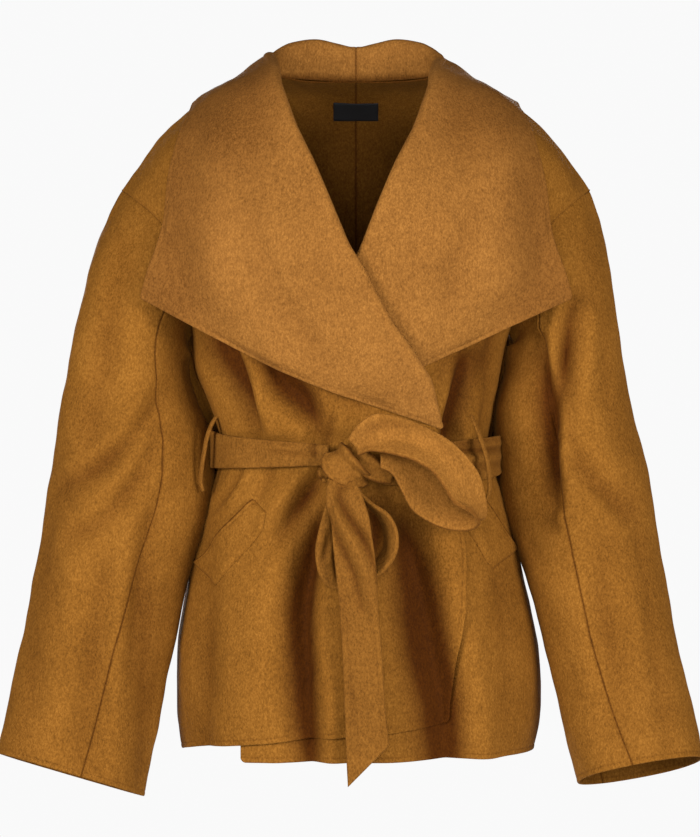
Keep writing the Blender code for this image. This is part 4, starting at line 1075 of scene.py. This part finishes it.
def spread_over(points, layers, gap, first_rib):
    """Moves ribs away from the core of the body until they clear the layers below."""
    corners, faces = [], []
    for made in layers:
        base = len(corners)
        corners += [vertex.co.copy() for vertex in made.data.vertices]
        faces += [tuple(base + i for i in face.vertices) for face in made.data.polygons]
    tree = BVHTree.FromPolygons(corners, faces)
    core = core_of(points)
    ways = unit(points - core)
    need = np.zeros(points.shape[:2])
    for i in range(points.shape[0]):
        for j in range(first_rib, points.shape[1]):
            way = Vector(ways[i, j])
            hit = tree.ray_cast(Vector(core[i, j]) + way * FAR, -way, FAR)[0]
            if hit is not None:
                need[i, j] = max(0.0, gap - (Vector(points[i, j]) - hit).dot(way))
    need = softened(need, CLEAR_REACH)
    need *= rising(np.arange(points.shape[1]), first_rib, CLEAR_RIBS)
    return points + ways * need[..., None]


def softened(values, reach):
    """The highest value near each point, smoothed, so that it stays above the values."""

    def beside(values, axis):
        padded = np.pad(values, [(1, 1) if i == axis else (0, 0) for i in (0, 1)], mode="edge")
        last = padded.shape[axis]
        return padded.take(range(last - 2), axis), padded.take(range(2, last), axis)

    for axis in (0, 1):
        for _ in range(reach):
            before, after = beside(values, axis)
            values = np.maximum(np.maximum(before, values), after)
    for axis in (0, 1):
        for _ in range(reach * reach // 2):
            before, after = beside(values, axis)
            values = (before + 2 * values + after) / 4
    return values


# Painted shade on the lapels: darker towards their outer edges and their tops.
def lapel_tone(points):
    out, up = np.abs(points[..., 0]), points[..., 2]
    top = rising(up, *LAPEL_TOP) * rising(out, *LAPEL_TOP_OUT)
    return LAPEL_SHADE * np.maximum(rising(out, *LAPEL_OUTER), top)


def add_collar(side, layers, finish):
    points = collar_grid(side)
    points = spread_over(points, layers, WOOL / 2 + LAYER_GAP, STAND_STEPS + TURN_STEPS - 2)
    points[-1, :, 0] = 0.0
    if side == LEFT:
        over = np.interp(points[..., 2], EDGE_Z, EDGE_X[RIGHT])
        under = rising(over - points[..., 0], 0, UNDER_FADE) * (points[..., 2] < BREAST_Z)
        ahead = np.zeros(points.shape)
        ahead[..., 1] = FRONT
        points[..., 1] += under * (UNDER_SINK - folds(points, ahead, BODY_FOLDS, FRONT))
    normals = sheet_normals(points)
    outward = unit(points - np.array([0.0, 0.0, COLLAR_CORE_Z]))
    normals = normals * np.sign(np.sum(normals[:, OUTER_RIB] * outward[:, OUTER_RIB]))
    normals[-1, :, 0] = 0
    normals = unit(normals)
    fall = rising(np.arange(points.shape[1]), STAND_STEPS + TURN_STEPS, FALL_RIBS)
    move = (folds(points, normals, COLLAR_FOLDS[side], FRONT) + wander(points)) * fall
    move = move + BACK_RIDGE * hill(points[..., 0], 0, BACK_RIDGE_REACH) * (points[..., 1] > 0)
    return add_cloth(
        side_name("collar", side), points, normals, move, WOOL, (1.0, 0.0, 0.0, 1.0), finish,
        "folded", rests_on=[made.name for made in layers], outside=WOOL / 2,
        tone=lapel_tone(points),
    )


# The belt

STRIP_MARKS = np.array([0, 0.12, 0.45, 1.0, 1.8, 2.8, 3.8]) / 1000
STRIP_CELL, WAIST_CELL = 0.0022, 0.0035
STRIP_SAMPLES, WAIST_SAMPLES = 400, 500
STRIP_WANDER, WAIST_WANDER, KNOT_WANDER = 0.6, 0.8, 0.5  # shares of the cloth's unevenness
STRIP_TURNED = 0.25  # how plain a strip's turned edges are
BELT_SHADE_AT, KNOT_SHADE_AT = 0.006, 0.0028  # the crease depths at which their painted shade is darkest
# painted shade along every edge of the knot's wraps and end, where they tuck under each other
KNOT_EDGE_SHADE = (0.8, 0.8, 0.8, 0.8)
BELT_OUT = 0.01  # a step off the waist, which says which way is out
BELT_BLURS, BLUR_ROUNDS = 4, 6  # which take the body's own creases out of the belt's line


def strip_grid(rows, arch=0.0):
    """The middle surface of a stretch of the belt, arched a little between its edges."""
    table = columns(STRIP_COLUMNS, rows)
    dense = np.linspace(0, len(rows) - 1, STRIP_SAMPLES)
    edges = [
        np.stack([follow(table[f"{edge}_{axis}"], dense) for axis in "xyz"], axis=1)
        for edge in "ab"
    ]
    middle = (edges[0] + edges[1]) / 2
    part = parts_at(middle[None], STRIP_MARKS, STRIP_MARKS, STRIP_CELL)[0]
    a, b = (follow(edge, part * (len(dense) - 1)) for edge in edges)
    width = np.linalg.norm(b - a, axis=1)
    marks = marked(width, STRIP_MARKS, STRIP_MARKS, STRIP_CELL)
    across = (marks / width[:, None])[..., None]
    points = a[:, None] * (1 - across) + b[:, None] * across
    return points + sheet_normals(points) * arch * 4 * across * (1 - across)


def add_strip(node, rows, finish, held, table=(), arch=0.0, dark=None):
    points = strip_grid(rows, arch)
    normals = sheet_normals(points)
    move = folds(points, normals, table, FRONT, both=True) + wander(points) * STRIP_WANDER
    return add_cloth(
        node, points, normals, move, BELT_WOOL, ALL_FREE, finish, held, outside=BELT_WOOL / 2,
        turned=STRIP_TURNED, dark=dark, dark_at=BELT_SHADE_AT,
    )


def belt_point(turn, z, lift):
    """A point on the waist, by quarter turns from the front middle round to the right."""
    face_back = (turn > 1) & (turn < 3)
    around_front = np.where(turn <= 1, -turn, 4 - turn)
    row = place_in(BODY["edge_z"][: ARMPIT_ROW + 1], z)
    at_front = body_point(FRONT, around_front, row, lift)
    at_back = body_point(BACK, turn - 2, row, lift)
    return np.where(face_back[..., None], at_back, at_front)


def belt_line(turn):
    """The belt's inner middle line, the way out from it, and its top and bottom."""
    table = columns(BELT_COLUMNS, BELT_ROWS)
    place = place_in(table["turn"], turn)
    top, bottom, lift = (follow(table[name], place) for name in BELT_COLUMNS[1:])
    middle = (top + bottom) / 2
    inner = belt_point(turn, middle, lift)
    outward = belt_point(turn, middle, lift + BELT_OUT) - inner
    outward[:, 2] = 0
    return inner, unit(outward), top, bottom


def add_belt(finish):
    first, last = BELT_ROWS[0][0], BELT_ROWS[-1][0]
    line = belt_line(np.linspace(first, last, WAIST_SAMPLES))[0]
    part = parts_at(line[None], STRIP_MARKS, STRIP_MARKS, WAIST_CELL)[0]
    inner, outward, top, bottom = belt_line(first + (last - first) * part)
    for _ in range(BELT_BLURS):
        inner, outward = blurred(inner, BLUR_ROUNDS), unit(blurred(outward, BLUR_ROUNDS))
    marks = marked(top - bottom, STRIP_MARKS, STRIP_MARKS, STRIP_CELL)
    points = np.repeat(inner[:, None], marks.shape[1], axis=1)
    points[..., 2] = top[:, None] - marks
    normals = np.repeat(outward[:, None], marks.shape[1], axis=1)
    move = folds(points, normals, BELT_FOLDS, FRONT) + wander(points) * WAIST_WANDER
    return add_cloth(
        "belt_waist", points, normals, move, BELT_WOOL, ALL_FREE, finish, "gathered",
        outside=BELT_WOOL, turned=0.0, dark_at=BELT_SHADE_AT,
    )


def add_knot(finish):
    """Two wraps of the belt, one over the other, and a small end beside them, in one piece."""
    points, faces, lines, cuts = [], [], [], []
    base = 0
    for rows, arch in KNOT_PARTS:
        grid = strip_grid(rows, arch)
        normals = sheet_normals(grid)
        move = folds(grid, normals, KNOT_FOLDS, FRONT, both=True) + wander(grid) * KNOT_WANDER
        outer, inner, line = shell(
            grid, normals, move, BELT_WOOL, ALL_FREE, outside=BELT_WOOL / 2, turned=0.0,
            dark=KNOT_EDGE_SHADE, dark_at=KNOT_SHADE_AT,
        )
        corners, quads = shell_mesh(outer, inner)
        points.append(corners)
        faces.append(quads + base)
        base += len(corners)
        lines += [line.ravel()] * 2
        cuts.append(measure(outer, inner))
    made = add_piece(
        "belt_knot", *(np.concatenate(stack) for stack in (points, faces, lines)), finish
    )


def tube(rings):
    """The faces of a closed tube through rings of points, with strips of faces as its caps."""
    rows, cols = rings.shape[:2]
    index = np.arange(rows * cols).reshape(rows, cols)
    after = np.roll(index, -1, axis=1)
    sides = np.stack([index[:-1], after[:-1], after[1:], index[1:]], axis=-1).reshape(-1, 4)
    caps = []
    for end, way in ((0, -1), (-1, 1)):
        ring = index[end]
        caps += [
            (ring[i], ring[i + 1], ring[-2 - i], ring[-1 - i])[::way] for i in range(cols // 2 - 1)
        ]
    return np.concatenate([sides, np.array(caps)])


def add_carrier(side, finish):
    """A narrow rounded band that stands off the side of the waist."""
    table = columns(CARRIER_COLUMNS, CARRIER_ROWS[side])
    place = np.linspace(0, len(CARRIER_ROWS[side]) - 1, CARRIER_RINGS)
    path = np.stack([follow(table[axis], place) for axis in CARRIER_COLUMNS], axis=1)
    along = unit(np.gradient(path, axis=0))
    away = unit(np.array([side, *CARRIER_OUT]) + path * 0)
    across = unit(np.cross(along, away))
    away = unit(np.cross(across, along))
    turn = np.linspace(0, 2 * math.pi, CARRIER_CORNERS, endpoint=False)[None, :, None]
    ring = across[:, None] * np.cos(turn) * CARRIER_HALF_WIDTH
    ring = ring + away[:, None] * np.sin(turn) * CARRIER_HALF_DEPTH
    full = np.sqrt(1 - np.linspace(-1, 1, len(path)) ** CARRIER_END_POWER)[:, None, None]
    rings = path[:, None] + ring * np.maximum(full, CARRIER_END)
    points = rings.reshape(-1, 3)
    faces = outward_faces(points, tube(rings))
    made = add_piece(side_name("carrier", side), points, faces, np.zeros(len(points)), finish)
    length = float(run(path[None], 1)[0][0, -1])


# What lies on the panels


def add_welt(side, finish):
    """A slanted welt on its front panel: a turned top edge, thinner where it is sewn down."""
    start, stop = np.array(WELT_ENDS[side])
    length = np.linalg.norm(stop - start)
    along = (stop - start) / length
    down = np.array([-along[1], along[0]]) * -side
    part = marked(length, SEAM_MARKS, SEAM_MARKS, WELT_CELL)[0] / length
    depth = np.interp(part, WELT_PARTS, WELT_DEPTHS)
    across = marked(depth, EDGE_MARKS, SEAM_MARKS, WELT_CELL)
    flat = start + (stop - start) * part[:, None, None] + down * across[..., None]
    around, row = place_on_body(FRONT, flat[..., 0], flat[..., 1])
    points = body_point(FRONT, around, row, front_lift(side, around, row))
    normals = body_normal(FRONT, around, row)
    sewn = np.minimum(np.minimum(*run(points, 0)), depth[:, None] - across)
    move = folds(points, normals, BODY_FOLDS, FRONT) + wander(points)
    move = move + WELT_LOW + WELT_RISE * rising(sewn, 0, WELT_SLOPE)
    add_cloth(
        side_name("welt", side), points, normals, move, WELT_WALL, (0.0, 0.0, 1.0, 0.0), finish,
        "laid", [side_name("front", side) + "_cloth"], outside=WELT_WALL, dark=WELT_SEAMS_AND_SLIT_SHADE,
    )


def add_label(finish):
    width, height, depth = LABEL_SIZE
    x = np.linspace(-width / 2, width / 2, LABEL_POINTS[0])
    z = NECK_BACK_Z - LABEL_DROP - np.linspace(0, height, LABEL_POINTS[1])
    around, row = place_on_body(BACK, *np.meshgrid(x, z))
    points = body_surface(BACK, around, row)
    normals = body_normal(BACK, around, row)
    move = folds(points, normals, BACK_FOLDS, BACK) + wander(points)
    add_cloth(
        "neck_label", points, normals, move, depth, ALL_FREE, finish, "laid",
        ["back_left_cloth", "back_right_cloth"], outside=-(WOOL + LABEL_GAP),
    )


# Finishes

# The wools: the slot, the shaded, middle and light colour of the nap, and how much it shines.
WOOLS = {
    "body": ("wool", (0.102, 0.0380, 0.0040), (0.188, 0.073, 0.0090), (0.282, 0.117, 0.0175), 0.02),
    "collar": (
        "wool", (0.119, 0.0450, 0.0074), (0.217, 0.0875, 0.0162), (0.320, 0.137, 0.0277), 0.03
    ),
    # The belt's wool is the body's made darker: painted shade on the belt, its knot, tail, loop and
    # carriers.
    "belt": (
        "belt_wool", (0.091, 0.0340, 0.0042), (0.167, 0.065, 0.0090), (0.248, 0.102, 0.0160), 0.02
    ),
    # The bow is the belt's wool made lighter: painted light on the bow's bright face.
    "bow": (
        "belt_wool", (0.119, 0.0450, 0.0062), (0.217, 0.086, 0.0135), (0.322, 0.135, 0.0240), 0.02
    ),
}
WOOL_ROUGHNESS, WOOL_SPECULAR = 0.8, 0.05
NAP_ROUGHNESS, NAP_TINT = 0.5, (1.0, 0.55, 0.22, 1.0)
NAP_SCALE = (1.0, 1.0, 0.62)  # the fibres lie downwards, so their pattern is longer that way
# Each pattern of the wool: its scale, detail, roughness and share of the colour.
FIBRE = (620.0, 3.0, 0.65, 0.60)
FLECK = (210.0, 3.0, 0.60, 0.20)
CLOUD = (13.0, 2.0, 0.50, 0.20)
NAP_STOPS = (0.33, 0.5, 0.67)  # where the mixed patterns have the three colours
SEAM_AND_SHADE_TINT = (0.28, 0.185, 0.065, 1.0)  # what the colour is multiplied by where the line attribute is 1: at dark seams, and as painted shade at the bottom of the deepest folds
FLECK_HEIGHT = 0.9  # of a fleck, against a fibre
NAP_BUMP, NAP_DEPTH = 0.55, 0.0009
LABEL_STOPS = ((0.0, (0.008, 0.008, 0.009)), (1.0, (0.022, 0.022, 0.024)))
LABEL_ROUGHNESS, LABEL_BUMP, LABEL_DEPTH = 0.6, 0.4, 0.0003
RIBS_SCALE, RIBS_DISTORTION = 900.0, 1.5


def set_inputs(node, values):
    for socket, value in values.items():
        node.inputs[socket].default_value = value


def new_material(name, values):
    """A material with these values on its shader's own sockets."""
    made = bpy.data.materials.new(name)
    made.use_nodes = True
    shader = made.node_tree.nodes["Principled BSDF"]
    set_inputs(shader, values)
    return made, made.node_tree, shader


def add_texture(tree, kind, source, values):
    """A texture node that reads its place from the source."""
    made = tree.nodes.new(kind)
    set_inputs(made, values)
    tree.links.new(source, made.inputs["Vector"])
    return made.outputs["Fac"]


def add_sum(tree, parts):
    """The sum of the parts' sources, each times its weight."""
    total = None
    for source, weight in parts:
        share = tree.nodes.new("ShaderNodeMath")
        share.operation = "MULTIPLY"
        tree.links.new(source, share.inputs[0])
        share.inputs[1].default_value = weight
        if total is None:
            total = share.outputs[0]
            continue
        both = tree.nodes.new("ShaderNodeMath")
        tree.links.new(total, both.inputs[0])
        tree.links.new(share.outputs[0], both.inputs[1])
        total = both.outputs[0]
    return total


def add_colours(tree, source, stops):
    """Colours from the source, by stops that each have a place and a colour."""
    made = tree.nodes.new("ShaderNodeValToRGB")
    elements = made.color_ramp.elements
    for element, (place, colour) in zip((elements[0], elements[1]), (stops[0], stops[-1])):
        element.position = place
        element.color = (*colour, 1)
    for place, colour in stops[1:-1]:
        elements.new(place).color = (*colour, 1)
    tree.links.new(source, made.inputs["Fac"])
    return made.outputs["Color"]


def add_bump(tree, shader, height, strength, depth):
    made = tree.nodes.new("ShaderNodeBump")
    set_inputs(made, {"Strength": strength, "Distance": depth})
    tree.links.new(height, made.inputs["Height"])
    tree.links.new(made.outputs["Normal"], shader.inputs["Normal"])


def wool(name, shade, middle, light, sheen):
    """Brushed wool: short fibres that lie downwards, flecks, soft clouds, darker seams and painted
    shade.
    """
    made, tree, shader = new_material(name, {
        "Roughness": WOOL_ROUGHNESS, "Specular IOR Level": WOOL_SPECULAR, "Sheen Weight": sheen,
        "Sheen Roughness": NAP_ROUGHNESS, "Sheen Tint": NAP_TINT,
    })
    place = tree.nodes.new("ShaderNodeTexCoord").outputs["Object"]
    lie = tree.nodes.new("ShaderNodeMapping")
    lie.inputs["Scale"].default_value = NAP_SCALE
    tree.links.new(place, lie.inputs["Vector"])
    fibre, fleck, cloud = (
        add_texture(tree, "ShaderNodeTexNoise", source,
                    {"Scale": scale, "Detail": detail, "Roughness": rough})
        for source, (scale, detail, rough, _) in (
            (lie.outputs["Vector"], FIBRE), (lie.outputs["Vector"], FLECK), (place, CLOUD)
        )
    )
    mixed = add_sum(tree, ((fibre, FIBRE[-1]), (fleck, FLECK[-1]), (cloud, CLOUD[-1])))
    colour = add_colours(tree, mixed, tuple(zip(NAP_STOPS, (shade, middle, light))))
    # The line attribute darkens the colour: at seams, and as painted shade in folds, along some
    # borders and on the lapels.
    line = tree.nodes.new("ShaderNodeAttribute")
    line.attribute_name = "line"
    shade_mix = tree.nodes.new("ShaderNodeMix")
    shade_mix.data_type = "RGBA"
    shade_mix.blend_type = "MULTIPLY"
    sockets = {socket.identifier: socket for socket in (*shade_mix.inputs, *shade_mix.outputs)}
    sockets["B_Color"].default_value = SEAM_AND_SHADE_TINT
    tree.links.new(colour, sockets["A_Color"])
    tree.links.new(line.outputs["Fac"], sockets["Factor_Float"])
    tree.links.new(sockets["Result_Color"], shader.inputs["Base Color"])
    height = add_sum(tree, ((fibre, 1.0), (fleck, FLECK_HEIGHT)))
    add_bump(tree, shader, height, NAP_BUMP, NAP_DEPTH)
    return made


def label_cloth():
    """A bare black woven label."""
    made, tree, shader = new_material("label_weave", {"Roughness": LABEL_ROUGHNESS})
    place = tree.nodes.new("ShaderNodeTexCoord").outputs["Object"]
    ribs = add_texture(
        tree, "ShaderNodeTexWave", place, {"Scale": RIBS_SCALE, "Distortion": RIBS_DISTORTION}
    )
    tree.links.new(add_colours(tree, ribs, LABEL_STOPS), shader.inputs["Base Color"])
    add_bump(tree, shader, ribs, LABEL_BUMP, LABEL_DEPTH)
    return made


# The studio

FLOOR_Z, FLOOR_RADIUS, FLOOR_SIDES = -1.45, 5.4, 96
FLOOR_GLOW = 0.48
AMBIENT, PAPER = (0.06, 0.058, 0.055, 1), (0.95, 0.95, 0.95, 1)
# Each light: place, size, watts.
LIGHTS = (
    ((-1.55, -1.75, 0.02), 0.9, 52),
    ((1.50, -1.80, -0.02), 0.9, 50),
    ((0.0, -1.25, -0.27), 0.4, 6),
    ((0.5, 3.6, 0.6), 1.2, 110),
    ((-0.9, 3.5, 0.3), 1.2, 70),
    ((0.0, -0.2, 2.9), 1.4, 9),
)
AIM = (0.0, 0.0, -0.30)
FARTHEST = 30.0  # that the camera sees


def add_camera():
    lens = bpy.data.cameras.new("camera")
    lens.lens = LENS_MM
    lens.sensor_width = SENSOR_MM
    lens.sensor_fit = "HORIZONTAL"
    lens.clip_end = FARTHEST
    camera = bpy.data.objects.new("camera", lens)
    camera.location = EYE
    camera.rotation_euler = (math.radians(90), 0, 0)
    bpy.context.scene.collection.objects.link(camera)
    bpy.context.scene.camera = camera


def add_light(name, place, size, watts):
    lamp = bpy.data.lights.new(name, "AREA")
    lamp.shape = "SQUARE"
    lamp.size = size
    lamp.energy = watts
    light = bpy.data.objects.new(name, lamp)
    light.location = place
    light.visible_camera = False
    way = Vector(AIM) - Vector(place)
    light.rotation_euler = way.to_track_quat("-Z", "Y").to_euler()
    bpy.context.scene.collection.objects.link(light)


def add_floor():
    bpy.ops.mesh.primitive_circle_add(
        vertices=FLOOR_SIDES, radius=FLOOR_RADIUS, fill_type="NGON", location=(0, 0, FLOOR_Z)
    )
    floor = bpy.context.object
    floor.name = "floor"
    paint = new_material("floor_paint", {
        "Base Color": (0.20, 0.20, 0.20, 1), "Roughness": 0.9, "Specular IOR Level": 0.1,
        "Emission Color": (1.0, 0.99, 0.97, 1), "Emission Strength": FLOOR_GLOW,
    })[0]
    floor.data.materials.append(paint)


def add_world():
    """Pale paper all round for the camera, and a faint even light for the cloth."""
    world = bpy.data.worlds.new("studio")
    bpy.context.scene.world = world
    world.use_nodes = True
    tree = world.node_tree
    sky = tree.nodes["Background"]
    sky.inputs["Color"].default_value = AMBIENT
    paper = tree.nodes.new("ShaderNodeBackground")
    paper.inputs["Color"].default_value = PAPER
    ray = tree.nodes.new("ShaderNodeLightPath")
    either = tree.nodes.new("ShaderNodeMixShader")
    tree.links.new(ray.outputs["Is Camera Ray"], either.inputs["Fac"])
    tree.links.new(sky.outputs["Background"], either.inputs[1])
    tree.links.new(paper.outputs["Background"], either.inputs[2])
    tree.links.new(either.outputs["Shader"], tree.nodes["World Output"].inputs["Surface"])
    bpy.context.scene.view_settings.view_transform = "Standard"


def main():
    add_camera()
    for i, light in enumerate(LIGHTS):
        add_light(f"softbox_{i}", *light)
    add_floor()
    add_world()
    body, collar, belt, bow = (
        (slot, wool(f"wool_{name}", *look)) for name, (slot, *look) in WOOLS.items()
    )
    label = ("label", label_cloth())
    layers = [add_back(side, body) for side in (RIGHT, LEFT)]
    layers += [add_sleeve(side, upper, body) for side in (RIGHT, LEFT) for upper in (True, False)]
    under = add_front(LEFT, body)
    left_collar = add_collar(LEFT, [*layers, under], collar)
    over = add_front(RIGHT, body)
    add_collar(RIGHT, [*layers, under, over, left_collar], collar)
    for side in (RIGHT, LEFT):
        add_welt(side, body)
        add_carrier(side, belt)
    add_belt(belt)
    add_knot(belt)
    # The bow takes the lighter wool, which is painted light.
    add_strip("belt_bow", BOW_ROWS, bow, "folded", BOW_FOLDS, BOW_ARCH, BOW_EDGE_SHADE)
    add_strip("belt_low_loop", LOW_LOOP_ROWS, belt, "folded", LOOP_FOLDS, LOOP_ARCH)
    add_strip("belt_tail", TAIL_ROWS, belt, "hung", TAIL_FOLDS, TAIL_ARCH)
    add_strip("belt_tail_under", UNDER_TAIL_ROWS, belt, "hung")
    add_label(label)


main()
